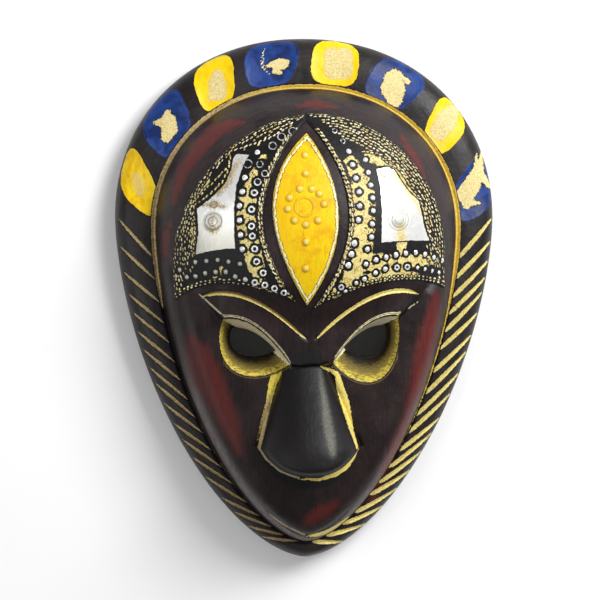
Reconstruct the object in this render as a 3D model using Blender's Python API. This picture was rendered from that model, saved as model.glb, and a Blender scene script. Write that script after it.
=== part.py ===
"""A carved wooden mask with three embossed metal plates on its forehead.

The mask lies on its back: +Z is out of the face, +Y is towards the crest and +X is to the right of the face as it is
seen. The origin is under the middle of the outline, on the surface that the rim lies on. Sizes are in metres.

Every surface is a height over the plan. The plan is cut into triangles along the carved lines, and each corner is
lifted to the height that the carving has there, so one set of functions describes the whole form.
"""

import math
from collections import namedtuple

import bpy
import numpy as np
from mathutils import Vector
from mathutils.geometry import delaunay_2d_cdt

# Outline of the rim
HEIGHT = 0.280
WIDTH = 0.2047
WIDEST_AT = 0.043
TOP_POWER = 2.12
CHIN_POWER = 1.65

# Rim: a band round the face, rounded over its outer edge
RIM_AT_CREST = 0.0285
RIM_AT_SIDE = 0.0219
RIM_AT_CHIN = 0.0100
RIM_EDGE_HEIGHT = 0.008
RIM_CROWN_HEIGHT = 0.021
RIM_GROOVE_WIDTH = 0.0022
RIM_GROOVE_DEPTH = 0.0012

# Face: widest line, height where it rises from the rim, and the roll of its edge
FACE_WIDEST_AT = 0.036
FACE_FOOT_HEIGHT = 0.020
SHOULDER_WIDTH = 0.015
SHOULDER_POWER = 2.2
CHEEK_HEIGHT = 0.0475
CHEEK_CROWN = 0.0050
CHIN_FALL = 0.0085
CHIN_FALL_FROM = -0.070
CHIN_FALL_LENGTH = 0.060
TEMPLE_FALL = 0.024
TEMPLE_FALL_LENGTH = 0.045

# Forehead dome
FOREHEAD_HEIGHT = 0.071
DOME_BELOW = 0.072
DOME_POWER = 0.62
DOME_BLEND = 0.004

# Brows: the mass over the eyes, its lower edge and the groove along it
BROW_HEIGHT = 0.0555
BROW_CROWN = 0.0095
BROW_END = (0.0555, 0.0005)
BROW_EDGE_ROLL = 0.0026
BROW_GROOVE_PEAK = (0.046, 0.0022)
BROW_GROOVE_INNER = (0.0025, -0.0219)
BROW_GROOVE_OUTER = BROW_END
BROW_GROOVE_POWER = 1.87
BROW_GROOVE_WIDTH = 0.0022
BROW_GROOVE_DEPTH = 0.0011

# Eyes: a funnel from an almond to a smaller hole, close under the upper lid
EYE_INNER_CORNER = (0.0104, -0.0342)
EYE_OUTER_CORNER = (0.0445, -0.0106)
EYE_LID_RISE = 0.0069
LEFT_EYE_DROP = (0.0118, -0.0155)
RIGHT_EYE_DROP = (0.0088, -0.0208)
EYE_DROP_POWER = 1.45
EYE_MIDDLE = (0.0279, -0.0215)
EYE_HOLE_MIDDLE = (0.0288, -0.0213)
EYE_HOLE_SHARE = (0.66, 0.50)
EYE_HOLE_HEIGHT = 0.0365
NASION_DIP = 0.0008

# The right half of the face is carved a little higher and further out than the left
RIGHT_HALF_SHIFT = (0.0013, 0.0013)
SHIFT_BLEND = 0.008

# Nose: a half-round cone that ends in a steep underside
NOSE_TOP = (-0.0029, -0.034)
NOSE_FOOT = (-0.0003, -0.078)
NOSE_HALF_WIDTH_TOP = 0.0103
NOSE_HALF_WIDTH_FOOT = 0.0266
NOSE_RIDGE_TOP = 0.052
NOSE_RIDGE_FOOT = 0.0745
NOSE_RIDGE_BLEND = 0.004
NOSE_END_BULGE = 0.0148
NOSE_END_POWER = 2.5
NOSE_ROLL = 0.0065
NOSE_ROLL_POWERS = (3, 0.8)
NOSE_SECTION_POWER = 2.3
NOSE_GROOVE_WIDTH = 0.0030
NOSE_GROOVE_DEPTH = 0.0010

# Chin: a groove inside the edge of the face
CHIN_GROOVE_INSET = 0.0052
CHIN_GROOVE_REACH = 0.024
CHIN_GROOVE_FADE = 0.005
CHIN_GROOVE_WIDTH = 0.0026
CHIN_GROOVE_DEPTH = 0.0015

# Hatching: gouge cuts down each side of the rim. The gaps are shares of their sum, uneven as a hand spaces them
CUT_OUTER_FROM = 0.0430
LEFT_CUT_OUTER_TO = -0.1284
RIGHT_CUT_OUTER_TO = -0.1315
CUT_INNER_HEIGHTS = (0.0210, -0.1305)
LEFT_OUTER_GAPS = (28, 26, 22, 19, 20, 19, 19, 17, 22, 22, 18, 21, 23, 27, 19, 21, 17)
LEFT_INNER_GAPS = (22, 22, 21, 19, 20, 19, 20, 19, 16, 19, 19, 19, 24, 17, 16, 14, 16)
RIGHT_OUTER_GAPS = (23, 20, 17, 15, 22, 23, 18, 23, 22, 27, 17, 21, 23, 22, 23, 25, 28)
RIGHT_INNER_GAPS = (20, 19, 17, 18, 18, 24, 23, 23, 19, 20, 19, 18, 15, 23, 17, 20, 15)
CUT_OUTER_SHARE = 0.92
CUT_INNER_SHARE = 0.10
CUT_WIDTH = 0.0024
CUT_DEPTH = 0.0011

# Crest: dished cells, as degrees round the rim and shares of the way across it
Cell = namedtuple("Cell", "inner_from inner_to outer_from outer_to share_from share_to")
CREST_CELLS = (
    Cell(164, 177, 152, 168, 0.03, 0.96),
    Cell(137, 155, 131, 149, 0.04, 0.96),
    Cell(118, 132, 112, 126, 0.05, 0.96),
    Cell(95, 113, 91, 109, 0.10, 0.94),
    Cell(71, 89, 73.5, 87.5, 0.10, 0.97),
    Cell(50.5, 69, 50, 66.5, 0.03, 0.97),
    Cell(28, 40.5, 32.5, 46, 0.03, 0.97),
    Cell(1.5, 17, 7, 25.5, 0.03, 0.97),
)
CELL_DEPTH = 0.0014
CELL_POWER = 3.2

# Hollow back
WALL = 0.013
HOLLOW_RIM_AT_CREST = 0.038
HOLLOW_RIM_AT_SIDE = 0.029
HOLLOW_RIM_AT_CHIN = 0.024
HOLLOW_POWER = 4

# Metal plates, laid on the forehead dome
PLATE_THICKNESS = 0.0008
PLATE_GAP = 0.0007
PLATE_WIDEST_AT = 0.020
LENS_AXIS = -0.0023
LENS_CROWN_MARGIN = 0.0270
LENS_FOOT = -0.0045
LENS_TOP = HEIGHT / 2 - RIM_AT_CREST - LENS_CROWN_MARGIN
LENS_MIDDLE = (LENS_TOP + LENS_FOOT) / 2
LENS_HALF_HEIGHT = (LENS_TOP - LENS_FOOT) / 2
LENS_HALF_WIDTH = 0.0157
LENS_LEFT_HALF_WIDTH = 0.0182
LENS_LEFT_LEAN = 0.12
SEAM = 0.0008
Side = namedtuple("Side", "sign temple_margin crown_margin power band peak end_drop")
LEFT_SIDE = Side(-1, 0.00965, 0.0170, 1.80, 0.0069, (0.047, 0.0070), 0.0094)
RIGHT_SIDE = Side(1, 0.00865, 0.0163, 2.00, 0.0048, (0.053, 0.0090), 0.0042)
PLATE_BELOW = 0.120
PLATE_TEMPLE_POWER = 2.0
PLATE_INNER_FOOT = (0.0045, -0.0037)
BAND_OVER_LENS = 0.0065
BAND_UNDER_LENS = 0.0045

# Raised work on the plates
BOSS_RADIUS = 0.0052
BOSS_HEIGHT = 0.0016
BOSSES = ((-0.0497, 0.0384), (0.0445, 0.0402))
DOT_RADIUS = 0.0019
DOT_HEIGHT = 0.0010
AXIS_DOTS_FROM_MIDDLE = (0.0318, 0.0223, -0.0121, -0.0252)
RING_FROM_MIDDLE = (-0.0012, 0.0058)
RING_MIDDLE = (LENS_AXIS + RING_FROM_MIDDLE[0], LENS_MIDDLE + RING_FROM_MIDDLE[1])
RING_RADIUS = 0.0092
RING_DOT_TURNS = (7, 43, 71, 109, 153, 189, 231, 269, 310)

# Facets
OUTLINE_STEPS = 112
RIM_STEPS = (0.48, 0.78, 0.93)
SHOULDER_STEPS = (0.0012, 0.0042, 0.0090, 0.0145)
HOLLOW_EDGE_STEPS = (0, 0.0015)
HOLLOW_SLOPE_STEPS = (0.006, 0.014)
CELL_RINGS = ((1.0, 14), (0.62, 8))
LEAF_STEPS = (0.15, 0.5, 0.85)
NOSE_LINES = np.array((-1.0, -0.97, -0.87, -0.65, -0.35, 0.0, 0.35, 0.65, 0.87, 0.97, 1.0))
NOSE_ROLL_LINES = (0.0, 0.14, 0.42, 1.0)
SLOPE_STEP = 0.0005
FACET = 0.0082
BACK_FACET = 0.0131
BROW_TAIL_STEPS = 4
BROW_GROOVE_STEPS = 12
BROW_MIDDLE_STEPS = 6
NOSE_STEPS = 6
PLATE_TOP_STEPS = 15
PLATE_TEMPLE_STEPS = 6
PLATE_FOOT_STEPS = 17
PLATE_BAND_STEPS = 14
LENS_STEPS = 15
RAISED_STEPS = 8
SEARCH_STEPS = 8 * OUTLINE_STEPS
PLATE_EDGE_CLEARANCE = 0.0015
CLEAR_OF_LINES = 0.55
SHARP_ANGLE = math.radians(40)

# Colours, as the plain finish of each piece
Colour = namedtuple("Colour", "rgb roughness metallic")
DARK_WOOD = Colour((0.022, 0.016, 0.016), 0.42, 0.0)
BRIGHT_METAL = Colour((0.68, 0.67, 0.62), 0.28, 1.0)
YELLOW_PAINT = Colour((0.82, 0.55, 0.01), 0.45, 0.0)

Egg = namedtuple("Egg", "middle half_width above below top_power bottom_power")
RIM = Egg(WIDEST_AT, WIDTH / 2, HEIGHT / 2 - WIDEST_AT, HEIGHT / 2 + WIDEST_AT, TOP_POWER, CHIN_POWER)
FACE = Egg(
    FACE_WIDEST_AT,
    WIDTH / 2 - RIM_AT_SIDE,
    HEIGHT / 2 - RIM_AT_CREST - FACE_WIDEST_AT,
    HEIGHT / 2 - RIM_AT_CHIN + FACE_WIDEST_AT,
    TOP_POWER,
    CHIN_POWER,
)
DOME = FACE._replace(below=DOME_BELOW, bottom_power=TOP_POWER)
HOLLOW = Egg(
    FACE_WIDEST_AT,
    WIDTH / 2 - HOLLOW_RIM_AT_SIDE,
    HEIGHT / 2 - HOLLOW_RIM_AT_CREST - FACE_WIDEST_AT,
    HEIGHT / 2 - HOLLOW_RIM_AT_CHIN + FACE_WIDEST_AT,
    TOP_POWER,
    CHIN_POWER,
)


def clamp(values):
    return np.clip(values, 0.0, 1.0)


def ease(values):
    t = clamp(values)
    return t * t * (3 - 2 * t)


def blend_max(a, b, width):
    """The larger of two heights, rounded over width where they cross."""
    share = clamp(0.5 + 0.5 * (a - b) / width)
    return b + (a - b) * share + width * share * (1 - share)


def egg_fraction(x, y, egg):
    """0 at the middle of the egg, 1 on its outline, and more outside it."""
    upper = y > egg.middle
    power = np.where(upper, egg.top_power, egg.bottom_power)
    reach = np.where(upper, egg.above, egg.below)
    return (np.abs(x / egg.half_width) ** power + np.abs((y - egg.middle) / reach) ** power) ** (1 / power)


def egg_inset(x, y, egg):
    """How far a point is inside the egg's outline, below zero outside it."""
    upper = y > egg.middle
    power = np.where(upper, egg.top_power, egg.bottom_power)
    reach = np.where(upper, egg.above, egg.below)
    fraction = np.maximum(egg_fraction(x, y, egg), 1e-6)
    scale = fraction ** (1 - power)
    along_x = scale * np.abs(x / egg.half_width) ** (power - 1) / egg.half_width
    along_y = scale * np.abs((y - egg.middle) / reach) ** (power - 1) / reach
    return (1 - fraction) / np.maximum(np.hypot(along_x, along_y), 1 / (egg.above + egg.below))


def egg_points(egg, steps=OUTLINE_STEPS):
    """The outline as points, from the widest point on the right and up over the crest."""
    points = []
    for step in range(steps):
        angle = 2 * math.pi * step / steps
        cosine, sine = math.cos(angle), math.sin(angle)
        power = 2 / (egg.top_power if sine > 0 else egg.bottom_power)
        reach = egg.above if sine > 0 else egg.below
        points.append((
            egg.half_width * math.copysign(abs(cosine) ** power, cosine),
            egg.middle + reach * math.copysign(abs(sine) ** power, sine),
        ))
    return np.array(points)


def egg_x(egg, y):
    """Half the egg's width at a height y."""
    power = egg.top_power if y > egg.middle else egg.bottom_power
    reach = egg.above if y > egg.middle else egg.below
    return egg.half_width * max(0.0, 1 - (abs(y - egg.middle) / reach) ** power) ** (1 / power)


def smaller(egg, inset):
    return egg._replace(
        half_width=egg.half_width - inset, above=egg.above - inset, below=egg.below - inset
    )


def rim_share(x, y):
    """0 where the rim meets the face, 1 at its outer edge."""
    from_face = np.maximum(-egg_inset(x, y, FACE), 0)
    from_edge = np.maximum(egg_inset(x, y, RIM), 0)
    return from_face / np.maximum(from_face + from_edge, 1e-9)


def groove(distance, width, depth):
    """A V cut: its depth at a distance from its middle line."""
    return depth * clamp(1 - np.abs(distance) / (width / 2))


def half_frame(x, y):
    """Plan coordinates of the left half's pattern, for points of either half."""
    share = ease((x + SHIFT_BLEND) / (2 * SHIFT_BLEND))
    return np.abs(x - RIGHT_HALF_SHIFT[0] * share), y - RIGHT_HALF_SHIFT[1] * share


def from_half_frame(points, sign):
    """The same pattern points on the left half (sign -1) or the right half (sign 1)."""
    points = np.array(points, dtype=float)
    if sign < 0:
        return points * (-1, 1)
    return points + RIGHT_HALF_SHIFT


def lid_line(across):
    """The upper edge of the eye and, past its corners, the lower edge of the brow."""
    (inner_x, inner_y), (outer_x, outer_y) = EYE_INNER_CORNER, EYE_OUTER_CORNER
    t = (across - inner_x) / (outer_x - inner_x)
    lid = inner_y + (outer_y - inner_y) * t + EYE_LID_RISE * 4 * t * (1 - t)
    nasion = inner_y - NASION_DIP * (1 - (across / inner_x) ** 2)
    tail = outer_y + (BROW_END[1] - outer_y) * (across - outer_x) / (BROW_END[0] - outer_x)
    return np.where(across < inner_x, nasion, np.where(across > outer_x, tail, lid))


def brow_groove_line(across):
    peak_x, peak_y = BROW_GROOVE_PEAK
    inward = clamp((peak_x - across) / (peak_x - BROW_GROOVE_INNER[0]))
    outward = (across - peak_x) / (BROW_GROOVE_OUTER[0] - peak_x)
    inner = (peak_y - BROW_GROOVE_INNER[1]) * inward**BROW_GROOVE_POWER
    outer = (peak_y - BROW_GROOVE_OUTER[1]) * outward**2
    return peak_y - np.where(across < peak_x, inner, outer)


def nose_section(y):
    """Share of the way down the nose, and its middle and half width there."""
    down = np.clip((NOSE_TOP[1] - y) / (NOSE_TOP[1] - NOSE_FOOT[1]), -0.1, 1.0)
    middle = NOSE_TOP[0] + (NOSE_FOOT[0] - NOSE_TOP[0]) * down
    half_width = NOSE_HALF_WIDTH_TOP + (NOSE_HALF_WIDTH_FOOT - NOSE_HALF_WIDTH_TOP) * down
    return down, middle, half_width


def nose_end(across):
    """The arc that the nose ends on."""
    return NOSE_FOOT[1] - NOSE_END_BULGE * (1 - clamp(np.abs(across)) ** NOSE_END_POWER)


def skin_height(x, y):
    """The carved front of the face, without the eye funnels and the nose."""
    spread = (x / FACE.half_width) ** 2
    chin = np.maximum(CHIN_FALL_FROM - y, 0) / CHIN_FALL_LENGTH
    cheek = CHEEK_HEIGHT - CHEEK_CROWN * spread - CHIN_FALL * chin**2
    brow = BROW_HEIGHT - BROW_CROWN * spread
    across, up = half_frame(x, y)
    over_edge = ease((up - lid_line(across)) / BROW_EDGE_ROLL + 1)
    fade = 1 - ease((across - EYE_OUTER_CORNER[0]) / (BROW_END[0] - EYE_OUTER_CORNER[0]))
    plane = cheek + (brow - cheek) * over_edge * fade
    plane = plane - TEMPLE_FALL * ease((y - BROW_END[1]) / TEMPLE_FALL_LENGTH)
    inset = egg_inset(x, y, FACE)
    roll = (1 - (1 - clamp(inset / SHOULDER_WIDTH)) ** SHOULDER_POWER) ** 0.5
    mass = FACE_FOOT_HEIGHT + (plane - FACE_FOOT_HEIGHT) * roll
    return blend_max(dome_height(x, y), mass, DOME_BLEND)


def dome_height(x, y):
    rise = clamp(1 - egg_fraction(x, y, DOME) ** 2) ** DOME_POWER
    return FACE_FOOT_HEIGHT + (FOREHEAD_HEIGHT - FACE_FOOT_HEIGHT) * rise


def face_height(x, y):
    skin = skin_height(x, y)
    across, up = half_frame(x, y)
    on_groove = (across > BROW_GROOVE_INNER[0] / 2) & (across < BROW_GROOVE_OUTER[0])
    skin = skin - np.where(
        on_groove, groove(up - brow_groove_line(across), BROW_GROOVE_WIDTH, BROW_GROOVE_DEPTH), 0
    )
    reach = ease((CHIN_GROOVE_REACH - np.abs(x)) / CHIN_GROOVE_FADE)
    at_chin = y < NOSE_FOOT[1]
    inset = egg_inset(x, y, FACE)
    skin = skin - np.where(
        at_chin, reach * groove(inset - CHIN_GROOVE_INSET, CHIN_GROOVE_WIDTH, CHIN_GROOVE_DEPTH), 0
    )
    down, middle, half_width = nose_section(y)
    over = (x - middle) / half_width
    from_end = y - nose_end(over)
    beside = (np.abs(over) - 1) * half_width
    beside_nose = (down > 0) & (y > NOSE_FOOT[1])
    skin = skin - np.where(
        beside_nose, groove(beside - NOSE_GROOVE_WIDTH / 3, NOSE_GROOVE_WIDTH, NOSE_GROOVE_DEPTH), 0
    )
    slope = (NOSE_RIDGE_FOOT - NOSE_RIDGE_TOP) / (NOSE_TOP[1] - NOSE_FOOT[1])
    rise = NOSE_RIDGE_TOP + (NOSE_TOP[1] - y) * slope
    ridge = -blend_max(-rise, -NOSE_RIDGE_FOOT, NOSE_RIDGE_BLEND)
    section = (1 - clamp(np.abs(over)) ** NOSE_SECTION_POWER) ** 0.5
    end = (1 - (1 - clamp(from_end / NOSE_ROLL)) ** NOSE_ROLL_POWERS[0]) ** NOSE_ROLL_POWERS[1]
    nose = skin + (ridge - skin) * section * end
    return np.where((down > -0.1) & (from_end > 0) & (np.abs(over) < 1), np.maximum(nose, skin), skin)


def cut_lines():
    """The middle line of each gouge cut, as its outer and inner end."""
    lines = []
    for sign, outer_to, outer_gaps, inner_gaps in (
        (-1, LEFT_CUT_OUTER_TO, LEFT_OUTER_GAPS, LEFT_INNER_GAPS),
        (1, RIGHT_CUT_OUTER_TO, RIGHT_OUTER_GAPS, RIGHT_INNER_GAPS),
    ):
        outer = rim_walk(CUT_OUTER_SHARE, (CUT_OUTER_FROM, outer_to), outer_gaps)
        inner = rim_walk(CUT_INNER_SHARE, CUT_INNER_HEIGHTS, inner_gaps)
        lines += [(start * (sign, 1), end * (sign, 1)) for start, end in zip(outer, inner)]
    return lines


def rim_walk(share, heights, gaps):
    """Points down the right side of the rim, from one height to another, spaced by some gaps."""
    face, rim = egg_points(FACE, SEARCH_STEPS), egg_points(RIM, SEARCH_STEPS)
    path = face + (rim - face) * share
    path = path[(path[:, 0] > 0) & (path[:, 1] < heights[0]) & (path[:, 1] > heights[1])]
    path = path[np.argsort(-path[:, 1])]
    lengths = np.concatenate([[0], np.cumsum(np.hypot(*np.diff(path, axis=0).T))])
    at = lengths[-1] * np.concatenate([[0], np.cumsum(gaps)]) / sum(gaps)
    return np.stack([np.interp(at, lengths, path[:, 0]), np.interp(at, lengths, path[:, 1])], axis=1)


def cut_depth(x, y):
    """Depth of the gouge cuts: leaf shapes, deepest along the middle line."""
    depth = np.zeros_like(x)
    for start, end in cut_lines():
        run = end - start
        length = float(np.hypot(*run))
        along = ((x - start[0]) * run[0] + (y - start[1]) * run[1]) / length**2
        aside = np.abs((x - start[0]) * run[1] - (y - start[1]) * run[0]) / length
        leaf = np.sqrt(clamp(4 * along * (1 - along)))
        half = np.maximum(CUT_WIDTH / 2 * leaf, 1e-6)
        depth = np.maximum(depth, np.where(leaf > 0, CUT_DEPTH * leaf * clamp(1 - aside / half), 0))
    return depth


def cell_fraction(cell, degrees, share):
    """0 in the middle of a crest cell, 1 on its outline."""
    middle = (cell.share_from + cell.share_to) / 2
    over = (share - middle) / ((cell.share_to - cell.share_from) / 2)
    outward = clamp((over + 1) / 2)
    start = cell.inner_from + (cell.outer_from - cell.inner_from) * outward
    stop = cell.inner_to + (cell.outer_to - cell.inner_to) * outward
    along = (degrees - (start + stop) / 2) / ((stop - start) / 2)
    return (np.abs(along) ** CELL_POWER + np.abs(over) ** CELL_POWER) ** (1 / CELL_POWER)


def rim_degrees(x, y):
    """Degrees round the rim, 0 at the right and 90 at the crest."""
    degrees = np.degrees(np.arctan2(y - FACE_WIDEST_AT, x))
    return np.where(degrees < -90, degrees + 360, degrees)


def rim_height(x, y):
    share = rim_share(x, y)
    height = RIM_EDGE_HEIGHT + (RIM_CROWN_HEIGHT - RIM_EDGE_HEIGHT) * (1 - clamp(share) ** 3) ** 0.5
    from_face = -egg_inset(x, y, FACE)
    height = height - groove(from_face - RIM_GROOVE_WIDTH / 2, RIM_GROOVE_WIDTH, RIM_GROOVE_DEPTH)
    degrees = rim_degrees(x, y)
    for cell in CREST_CELLS:
        fraction = clamp(cell_fraction(cell, degrees, share))
        height = height - CELL_DEPTH * (1 - fraction**3)
    return height - cut_depth(x, y)


def front_height(x, y):
    return np.where(egg_fraction(x, y, FACE) < 1, face_height(x, y), rim_height(x, y))


def back_height(x, y):
    """The hollow back: flat under the rim, then up under the face at the wall's thickness."""
    fraction = clamp(egg_fraction(x, y, HOLLOW))
    return (skin_height(x, y) - WALL) * (1 - fraction**HOLLOW_POWER) ** 0.5


def eye_outline(sign, down=0.0, lid_steps=10, drop_steps=14):
    """One side's eye in its half's frame, at a share of the way down the funnel to the hole."""
    inner, outer = np.array(EYE_INNER_CORNER), np.array(EYE_OUTER_CORNER)
    lowest = np.array(LEFT_EYE_DROP if sign < 0 else RIGHT_EYE_DROP)
    middle, half = (inner + outer) / 2, (outer - inner) / 2
    points = []
    for step in range(lid_steps):
        across = inner[0] + (outer[0] - inner[0]) * step / lid_steps
        points.append((across, float(lid_line(np.array(across)))))
    for step in range(drop_steps):
        angle = math.pi * step / drop_steps
        drop = math.sin(angle) ** EYE_DROP_POWER
        points.append(tuple(middle + half * math.cos(angle) + lowest * drop))
    points = np.array(points)
    hole = EYE_HOLE_MIDDLE + (points - EYE_MIDDLE) * EYE_HOLE_SHARE
    return points + (hole - points) * down


def eye_loops(sign):
    """The outer outline, a line half-way down the funnel, and the hole."""
    return [from_half_frame(eye_outline(sign, down), sign) for down in (0, 0.5, 1)]


def inside(points, loop):
    """Which points lie inside a closed loop."""
    found = np.zeros(len(points), dtype=bool)
    x, y = points[:, 0], points[:, 1]
    for start, end in zip(loop, np.roll(loop, -1, axis=0)):
        crosses = (start[1] > y) != (end[1] > y)
        slope = (end[0] - start[0]) / (end[1] - start[1] if end[1] != start[1] else 1e-12)
        found ^= crosses & (x < start[0] + (y - start[1]) * slope)
    return found


def distance_to(points, lines):
    """The distance from each point to the nearest of some lines."""
    nearest = np.full(len(points), np.inf)
    for path, closed in lines:
        ends = np.roll(path, -1, axis=0) if closed else path[1:]
        for start, end in zip(path, ends):
            run = end - start
            along = clamp(((points - start) @ run) / max(float(run @ run), 1e-12))
            gap = points - start - along[:, None] * run
            nearest = np.minimum(nearest, np.hypot(gap[:, 0], gap[:, 1]))
    return nearest


def grid_points(limit, spacing):
    """A grid of even triangles over the plan."""
    rows = int(limit / (spacing * math.sqrt(3) / 2)) + 1
    columns = int(limit / spacing) + 1
    return np.array([
        ((column + 0.5 * (row % 2)) * spacing, row * spacing * math.sqrt(3) / 2)
        for row in range(-rows, rows + 1)
        for column in range(-columns, columns + 1)
    ])


def loose_points(spacing, egg, lines):
    """The grid points inside an egg that keep clear of some lines."""
    spots = grid_points(HEIGHT, spacing)
    spots = spots[egg_fraction(spots[:, 0], spots[:, 1], egg) < 1]
    return spots[distance_to(spots, lines) > FACET * CLEAR_OF_LINES]


def triangulate(lines, loose):
    """Triangles over the plan that keep every line as edges."""
    points, edges = [], []
    for path, closed in lines:
        first = len(points)
        points += [Vector(point) for point in path]
        edges += [(first + k, first + k + 1) for k in range(len(path) - 1)]
        if closed:
            edges.append((first + len(path) - 1, first))
    points += [Vector(point) for point in loose]
    found = delaunay_2d_cdt(points, edges, [], 0, 1e-6, False)
    corners = np.array([tuple(point) for point in found[0]])
    return corners, np.array([tuple(face) for face in found[2]])


def keep_inside(corners, faces, outline, holes=()):
    middles = corners[faces].mean(axis=1)
    keep = inside(middles, outline)
    for hole in holes:
        keep &= ~inside(middles, hole)
    faces = faces[keep]
    a, b, c = (corners[faces[:, k]] for k in range(3))
    turn = (b[:, 0] - a[:, 0]) * (c[:, 1] - a[:, 1]) - (b[:, 1] - a[:, 1]) * (c[:, 0] - a[:, 0])
    faces = faces[np.abs(turn) > 1e-14]
    turn = turn[np.abs(turn) > 1e-14]
    faces[turn < 0] = faces[turn < 0][:, ::-1]
    return faces


def border_edges(faces):
    """The edges that only one face has, each in that face's direction."""
    edges = np.concatenate([faces[:, [0, 1]], faces[:, [1, 2]], faces[:, [2, 0]]])
    known = {tuple(edge) for edge in edges}
    return [tuple(edge) for edge in edges if (edge[1], edge[0]) not in known]


def rim_rings():
    face, rim = egg_points(FACE), egg_points(RIM)
    rings = [(face + (rim - face) * share, True) for share in RIM_STEPS]
    for offset in (0, RIM_GROOVE_WIDTH / 2, RIM_GROOVE_WIDTH):
        rings.append((egg_points(smaller(FACE, -offset)), True))
    return rings + [(rim, True)]


def hollow_rings(insets):
    return [(egg_points(smaller(HOLLOW, inset), OUTLINE_STEPS // 2), True) for inset in insets]


def cell_rings():
    """The outline of each crest cell and a line inside it."""
    face, rim = egg_points(FACE, SEARCH_STEPS), egg_points(RIM, SEARCH_STEPS)
    rings = []
    for cell in CREST_CELLS:
        for scale, steps in CELL_RINGS:
            ring = []
            for step in range(steps):
                angle = 2 * math.pi * step / steps
                power = 2 / CELL_POWER
                over = scale * math.copysign(abs(math.sin(angle)) ** power, math.sin(angle))
                along = scale * math.copysign(abs(math.cos(angle)) ** power, math.cos(angle))
                share = (cell.share_from + cell.share_to) / 2 + over * (cell.share_to - cell.share_from) / 2
                outward = (over + 1) / 2
                start = cell.inner_from + (cell.outer_from - cell.inner_from) * outward
                stop = cell.inner_to + (cell.outer_to - cell.inner_to) * outward
                degrees = (start + stop) / 2 + along * (stop - start) / 2
                path = face + (rim - face) * share
                nearest = np.argmin(np.abs(rim_degrees(path[:, 0], path[:, 1]) - degrees))
                ring.append(path[nearest])
            rings.append((np.array(ring), True))
    return rings


def cut_rings():
    """The leaf outline of each gouge cut and its middle line."""
    rings = []
    for start, end in cut_lines():
        run = end - start
        aside = np.array([-run[1], run[0]]) / np.hypot(*run) * CUT_WIDTH / 2
        bulges = [(start + run * t, aside * math.sqrt(4 * t * (1 - t))) for t in LEAF_STEPS]
        leaf = [start] + [spot + bulge for spot, bulge in bulges]
        leaf += [end] + [spot - bulge for spot, bulge in bulges[::-1]]
        rings.append((np.array(leaf), True))
        rings.append((np.array([start, start + run * 0.5, end]), False))
    return rings


def brow_lines():
    lines = []
    tail = np.linspace(EYE_OUTER_CORNER[0], BROW_END[0], BROW_TAIL_STEPS)
    groove_run = np.linspace(BROW_GROOVE_INNER[0], BROW_GROOVE_OUTER[0], BROW_GROOVE_STEPS)
    for sign in (-1, 1):
        for drop in (0, -BROW_EDGE_ROLL):
            path = np.stack([tail, lid_line(tail) + drop], axis=1)
            lines.append((from_half_frame(path, sign), False))
        for offset in (-BROW_GROOVE_WIDTH / 2, 0, BROW_GROOVE_WIDTH / 2):
            path = np.stack([groove_run, brow_groove_line(groove_run) + offset], axis=1)
            lines.append((from_half_frame(path, sign), False))
    reach = EYE_INNER_CORNER[0]
    across = np.linspace(-reach, reach + RIGHT_HALF_SHIFT[0], BROW_MIDDLE_STEPS)
    for drop in (0, -BROW_EDGE_ROLL):
        lines.append((np.stack([across, lid_line(np.abs(across)) + drop], axis=1), False))
    return lines


def nose_lines():
    """Lines down the nose, over its rolled end, and round its foot."""
    lines = []
    for over in NOSE_LINES:
        y = np.linspace(NOSE_TOP[1] - BROW_EDGE_ROLL, nose_end(over) + NOSE_ROLL, NOSE_STEPS)
        _, middle, half_width = nose_section(y)
        lines.append((np.stack([middle + over * half_width, y], axis=1), False))
    for roll in NOSE_ROLL_LINES:
        y = nose_end(NOSE_LINES) + roll * NOSE_ROLL
        _, middle, half_width = nose_section(y)
        lines.append((np.stack([middle + NOSE_LINES * half_width, y], axis=1), False))
    return lines


def chin_lines():
    lines = []
    for offset in (-CHIN_GROOVE_WIDTH / 2, 0, CHIN_GROOVE_WIDTH / 2):
        outline = egg_points(smaller(FACE, CHIN_GROOVE_INSET + offset), OUTLINE_STEPS)
        near = outline[(np.abs(outline[:, 0]) < CHIN_GROOVE_REACH) & (outline[:, 1] < NOSE_FOOT[1])]
        lines.append((near, False))
    return lines


def face_lines():
    plates = [(outline, True) for outline in (plate_outline(LEFT_SIDE), plate_outline(RIGHT_SIDE), lens_outline())]
    rings = [(path, True) for path in ring_paths()]
    return rings + plates + brow_lines() + nose_lines() + chin_lines()


def make_carved_body():
    outline = egg_points(RIM)
    eyes = [eye_loops(sign) for sign in (-1, 1)]
    holes = [loops[-1] for loops in eyes]
    lines = rim_rings() + cell_rings() + cut_rings() + face_lines()
    lines += [(loop, True) for loops in eyes for loop in loops]
    loose = loose_points(FACET, smaller(FACE, SHOULDER_STEPS[-1]), lines)
    corners, faces = triangulate(lines, loose)
    faces = keep_inside(corners, faces, outline, holes)
    heights = front_height(corners[:, 0], corners[:, 1])
    for loops in eyes:
        heights = sink_eye(corners, heights, loops)

    border = [(corners[[a, b]], False) for a, b in border_edges(faces)]
    hole_lines = [(hole, True) for hole in holes]
    edge_rings = hollow_rings(HOLLOW_EDGE_STEPS)
    slope_rings = hollow_rings(HOLLOW_SLOPE_STEPS)
    loose = loose_points(BACK_FACET, smaller(HOLLOW, HOLLOW_SLOPE_STEPS[-1]), slope_rings + hole_lines)
    loose = np.concatenate([path for path, _ in slope_rings] + [loose])
    loose = loose[distance_to(loose, hole_lines) > FACET * CLEAR_OF_LINES]
    back_corners, back_faces = triangulate(border + edge_rings, loose)
    back_faces = keep_inside(back_corners, back_faces, outline, holes)
    back_heights = back_height(back_corners[:, 0], back_corners[:, 1])
    solid_between("carved_body", (corners, faces, heights), (back_corners, back_faces, back_heights))


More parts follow.
